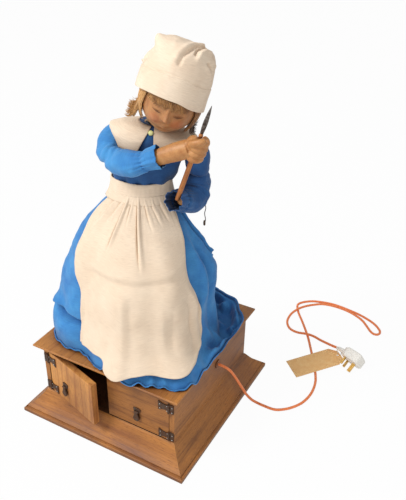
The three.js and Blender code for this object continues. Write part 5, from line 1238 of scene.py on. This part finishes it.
outward += creases * (0.35 + 0.65 * ease(height, 24, 60))
crown_way = outward_way(around, 0.2 + ease(height, 70, 100) * 1.2)
# The brim rises over the forehead
brim_degrees = [0, 90, 150, 197, 241, 262, 281, 303, 342, 360]
brim_lift = through(np.degrees(around), brim_degrees, [0, 0, 2, 7, 10, 9.5, 9, 4, 0.5, 0])
crown[..., 2] += brim_lift * (1 - ease(height, 0, 34))
crown = crown + crown_way * outward[..., None]
cap = grid_piece("cap_cloth", from_cap(crown), cap_cotton, "head_set", wraps=True,
                 replaces=["cap"], slot="cream_cotton")
thicken(cap, 0.0014)
print("cap of", len(cap.data.vertices), "points")

# %% [markdown]
# The mains cord leaves the right panel through a brown bush, droops to the floor and wanders behind the
# cabinet before it comes back to its plug. All of it is in the photograph, so its length there is its
# length here. The route follows the CAD model's, and one spline runs through its points.

# %% The cord
cord_radius, floor_height = 3.0, 3.5
# Points with two numbers lie on the floor
cord_points_at = [
    (162.1, 20, 123), (169, 20.2, 122.7), (178, 22.5, 119), (185.5, 28, 110), (190.5, 35, 96), (197, 46, 72),
    (204, 57, 46), (213, 65.5, 22), (224, 70.5, 8), (237, 72), (252, 71), (280, 72.5), (299, 85), (315, 104),
    (326, 126), (332, 161), (328, 199), (319, 225), (298.5, 267), (277, 307), (250, 355), (217, 404),
    (189, 444), (178, 474), (200, 502), (232, 516), (267, 521.5), (311.5, 517), (347, 509), (381, 494),
    (396, 482), (406.5, 468.5), (408.5, 458.5), (404.5, 451), (396.5, 448.8), (387, 454), (371, 471.5),
    (352, 491), (314, 509.5), (269, 514.5), (236, 507.5), (216, 491, 4.5), (201, 468, 8.5), (189, 444, 10.5),
    (179, 416, 6.5), (182, 384), (199, 361), (222, 352, 6.5), (248, 353, 10.5), (268, 349, 13.5),
    (288, 339, 17), (317.6, 326.2, 23), (342, 317, 28), (353, 312.8, 29.1), (359.7, 310.1, 29.1),
]
cord_route = [(*place, floor_height)[:3] for place in cord_points_at]


def smooth_route(points, per_span=8):
    """A centripetal curve through points, as the CAD model draws it."""
    p = np.asarray(points, float)
    p = np.vstack([2 * p[0] - p[1], p, 2 * p[-1] - p[-2]])
    out = []
    for a, b, c, d in zip(p[:-3], p[1:-2], p[2:-1], p[3:]):
        ta = 0.0
        tb = ta + max(np.linalg.norm(b - a), 1e-6) ** 0.5
        tc = tb + max(np.linalg.norm(c - b), 1e-6) ** 0.5
        td = tc + max(np.linalg.norm(d - c), 1e-6) ** 0.5
        for t in np.linspace(tb, tc, per_span, endpoint=False):
            ab = (tb - t) / (tb - ta) * a + (t - ta) / (tb - ta) * b
            bc = (tc - t) / (tc - tb) * b + (t - tb) / (tc - tb) * c
            cd = (td - t) / (td - tc) * c + (t - tc) / (td - tc) * d
            abc = (tc - t) / (tc - ta) * ab + (t - ta) / (tc - ta) * bc
            bcd = (td - t) / (td - tb) * bc + (t - tb) / (td - tb) * cd
            out.append((tc - t) / (tc - tb) * abc + (t - tb) / (tc - tb) * bcd)
    out.append(np.asarray(points[-1], float))
    return np.array(out)


# %% The cord as a curve
def curve_piece(name, points, radius, material, body, **words):
    """A round wire or cord: one open spline through points given in millimetres of the row frame."""
    data = bpy.data.curves.new(name, "CURVE")
    data.dimensions = "3D"
    data.bevel_depth = radius * mm
    data.bevel_resolution = 4
    data.use_fill_caps = True
    spline = data.splines.new("POLY")
    spline.points.add(len(points) - 1)
    for point, place in zip(spline.points, points):
        point.co = (*(np.asarray(place) * mm), 1)
    spline.use_smooth = True
    data.materials.append(material)
    return placed(name, data, body, **words)


cord_points = smooth_route(cord_route)
cord_steps = distances(cord_points)
mains_cord = curve_piece("mains_cord_sheath", cord_points, cord_radius, orange_sheath, "cabinet_and_figure",
                         replaces=["mains_cord"], slot="orange_cord")

# %% The lead inside and the plug's strain relief
lead_points = smooth_route([
    (143.7, 20, 123), (138, 20, 123), (126, 32, 123), (74, 126, 111), (0, 138, 103), (-74, 138, 88),
    (-138, 83.5, 88), (-132, 17, 88), (-126.3, 17, 88),
])
motor_lead = curve_piece("motor_lead_sheath", lead_points, cord_radius, orange_sheath, "cabinet_and_figure",
                         replaces=["motor_lead"], slot="orange_cord")
# The relief is a ribbed cone over the last 24 mm of the cord
relief_start = cord_steps[-1] - 24
relief_at = np.linspace(relief_start, relief_start + 23.8, 22)
relief_places = np.stack([np.interp(relief_at, cord_steps, cord_points[:, k]) for k in range(3)], -1)[::-1]
t = np.linspace(0, 1, len(relief_places))
relief_radii = np.interp(t, [0, 1], (6.2, 3.6)) + 0.35 * np.sign(np.sin(t * np.pi * 8)) * (t > 0.1)
plug_relief = grid_piece("plug_strain_relief", tube_rings(relief_places, relief_radii, 24), white_plastic,
                         "cabinet_and_figure", wraps=True, figure=False, slot="white_plastic")

# %% Strings and tag
card, tree, shader = new_finish("buff_card", 0.8)
flecks = ramp(tree, speckle(tree, 90.0, 4.0, 0.6), (0.3, (246, 192, 126)), (0.7, (255, 210, 146)))
tree.links.new(flecks, shader.inputs["Base Color"])
give(nodes["label_tag"], card)
twine = worn_metal("white_twine", (226, 218, 204), (196, 184, 166), 0.85, 0.0)
dark_twine = worn_metal("dark_twine", (70, 56, 44), (48, 38, 30), 0.8, 0.0)
string_points = smooth_route([
    (342, 317, 33.4), (340.1, 312, 28), (345.2, 305.6, 18.9), (345.2, 305.6, 11.7), (351.4, 312.1, 16.3),
    (343.9, 322, 28), (344.8, 315.9, 33.7),
])
label_string = curve_piece("label_twine", string_points, 0.7, twine, "cabinet_and_figure",
                           replaces=["label_string"], slot="twine")
draw_shares = np.array([(0.85, 0, -1.06), (0.89, 0.05, -1.145), (0.95, 0.09, -1.31), (0.93, 0.1, -1.45),
                        (0.95, 0.1, -1.59), (0.93, 0.1, -1.69)])
draw_route = in_place(draw_shares * 100 + shoulder_middle) / mm
draw_points = smooth_route(draw_route)
drawstring = curve_piece("drawstring_twine", draw_points, 0.8, dark_twine, "arms",
                         replaces=["sleeve_drawstring"], slot="twine")
toggle_profile = [(0, 0.05), (0.01, 1.5), (0.1, 2.1), (0.5, 2.3), (0.88, 2.0), (0.98, 1.3), (1, 0.05)]
toggle_low, toggle_high = draw_route[-1] - [0, 0, 2.3], draw_route[-1] + [0, 0, 9]
toggle_rings = straight_rings(toggle_low, toggle_high, toggle_profile, 16, 1.0, np.array([1.0, 0, 0]))
toggle = grid_piece("drawstring_toggle", toggle_rings, dark_iron, "arms", wraps=True, figure=False,
                    slot="dark_iron")

# %% Nails in the hinge leaves
def flat_front(node):
    """The middle, directions and half extents of the side of a plate that faces the front, in metres."""
    turn = node.matrix_world.to_3x3()
    faces = [face for face in node.data.polygons if (turn @ face.normal).y < -0.6]
    spots = np.array([node.matrix_world @ node.data.vertices[i].co for face in faces for i in face.vertices])
    normal = np.array(turn @ max(faces, key=lambda face: face.area).normal)
    across = np.cross([0, 0, 1.0], normal)
    middle = (spots.max(0) + spots.min(0)) / 2
    return middle, across, normal, np.ptp(spots @ across) / 2, np.ptp(spots[:, 2]) / 2


def dome_rings(centre, normal, radius):
    side = np.cross([0, 0, 1.0], normal)
    over = np.cross(normal, side)
    round_it = np.outer(np.cos(turns(14)), side) + np.outer(np.sin(turns(14)), over)
    return np.stack([centre + normal * radius * 0.55 * math.sin(t) + radius * math.cos(t) * round_it
                     for t in np.linspace(-0.3, 1.5, 7)])


leaves = {"cabinet_and_figure": "frame_leaf", "left_door": "door_leaf_left", "right_door": "door_leaf_right"}
for body, word in leaves.items():
    tubes = []
    for name in [n for n in nodes if n.startswith(word)]:
        middle, across, normal, wide, tall = flat_front(nodes[name])
        for u, v in ((0.62, 0.55), (0.62, -0.55), (-0.62, 0.5), (-0.62, -0.5)):
            tubes.append(dome_rings(middle + across * wide * u + np.array([0, 0, tall * v]), normal, 0.0013))
    new_piece(f"{body}_hinge_nails", *joined_tubes(tubes), turned_steel, body, slot="steel")
    print(len(tubes), "nails on", body)

# %% [markdown]
# The cords keep the length that their route has, because all of it is in the picture.

# %% Cloth and cords
print("7 sheets and 3 cords")

# %% [markdown]
# The stage is a pale floor. The camera sees it as white, as in the photograph, but a trace of the
# shadow is kept, and the lamps don't get brighter for it.

# %% The floor
floor_data = bpy.data.meshes.new("floor")
floor_data.from_pydata([(-30, -30, 0), (30, -30, 0), (30, 30, 0), (-30, 30, 0)], [], [(0, 1, 2, 3)])
floor = bpy.data.objects.new("floor", floor_data)
bpy.context.scene.collection.objects.link(floor)


def seen_directly(tree):
    """1 for rays that show a thing itself or its mirror image, 0 for those that gather light."""
    path = add_node(tree, "LightPath")
    seen = sums(tree, "MAXIMUM", path.outputs["Is Camera Ray"], path.outputs["Is Glossy Ray"])
    return sums(tree, "MAXIMUM", seen, path.outputs["Is Transmission Ray"])


white_floor, tree, shader = new_finish("white_floor", 0.9, colour=(236, 236, 236))
glow = add_node(tree, "Emission", {"Color": (1, 1, 1, 1), "Strength": 1.0})
share = sums(tree, "MULTIPLY", seen_directly(tree), 0.96)
mix = add_node(tree, "MixShader", {0: share, 1: shader.outputs[0], 2: glow.outputs[0]})
tree.links.new(mix.outputs[0], tree.nodes["Material Output"].inputs["Surface"])
give(floor, white_floor)
print("white floor laid")

# %% Lamps and world
def soft_lamp(name, place, aim, power, size):
    lamp_data = bpy.data.lights.new(name, "AREA")
    lamp_data.energy = power
    lamp_data.size = size
    lamp = bpy.data.objects.new(name, lamp_data)
    lamp.location = place
    lamp.rotation_mode = "QUATERNION"
    lamp.rotation_quaternion = (Vector(place) - Vector(aim)).to_track_quat("Z", "Y")
    bpy.context.scene.collection.objects.link(lamp)


soft_lamp("window", (-1.3, -1.8, 2.8), (0, 0, 0.4), 74, 1.1)
soft_lamp("fill", (1.4, -2.4, 1.4), (0, 0, 0.4), 13, 1.8)
world = bpy.data.worlds.new("studio")
world.use_nodes = True
bpy.context.scene.world = world
tree = world.node_tree
for node in list(tree.nodes):
    tree.nodes.remove(node)
room = add_node(tree, "Background", {"Color": (1, 1, 1, 1), "Strength": 0.5})
white = add_node(tree, "Background", {"Color": (1, 1, 1, 1), "Strength": 1.0})
mix = add_node(tree, "MixShader", {0: seen_directly(tree), 1: room.outputs[0], 2: white.outputs[0]})
out = add_node(tree, "OutputWorld")
tree.links.new(mix.outputs[0], out.inputs["Surface"])
bpy.context.scene.view_settings.view_transform = "Standard"
print("two lamps and a pale room")
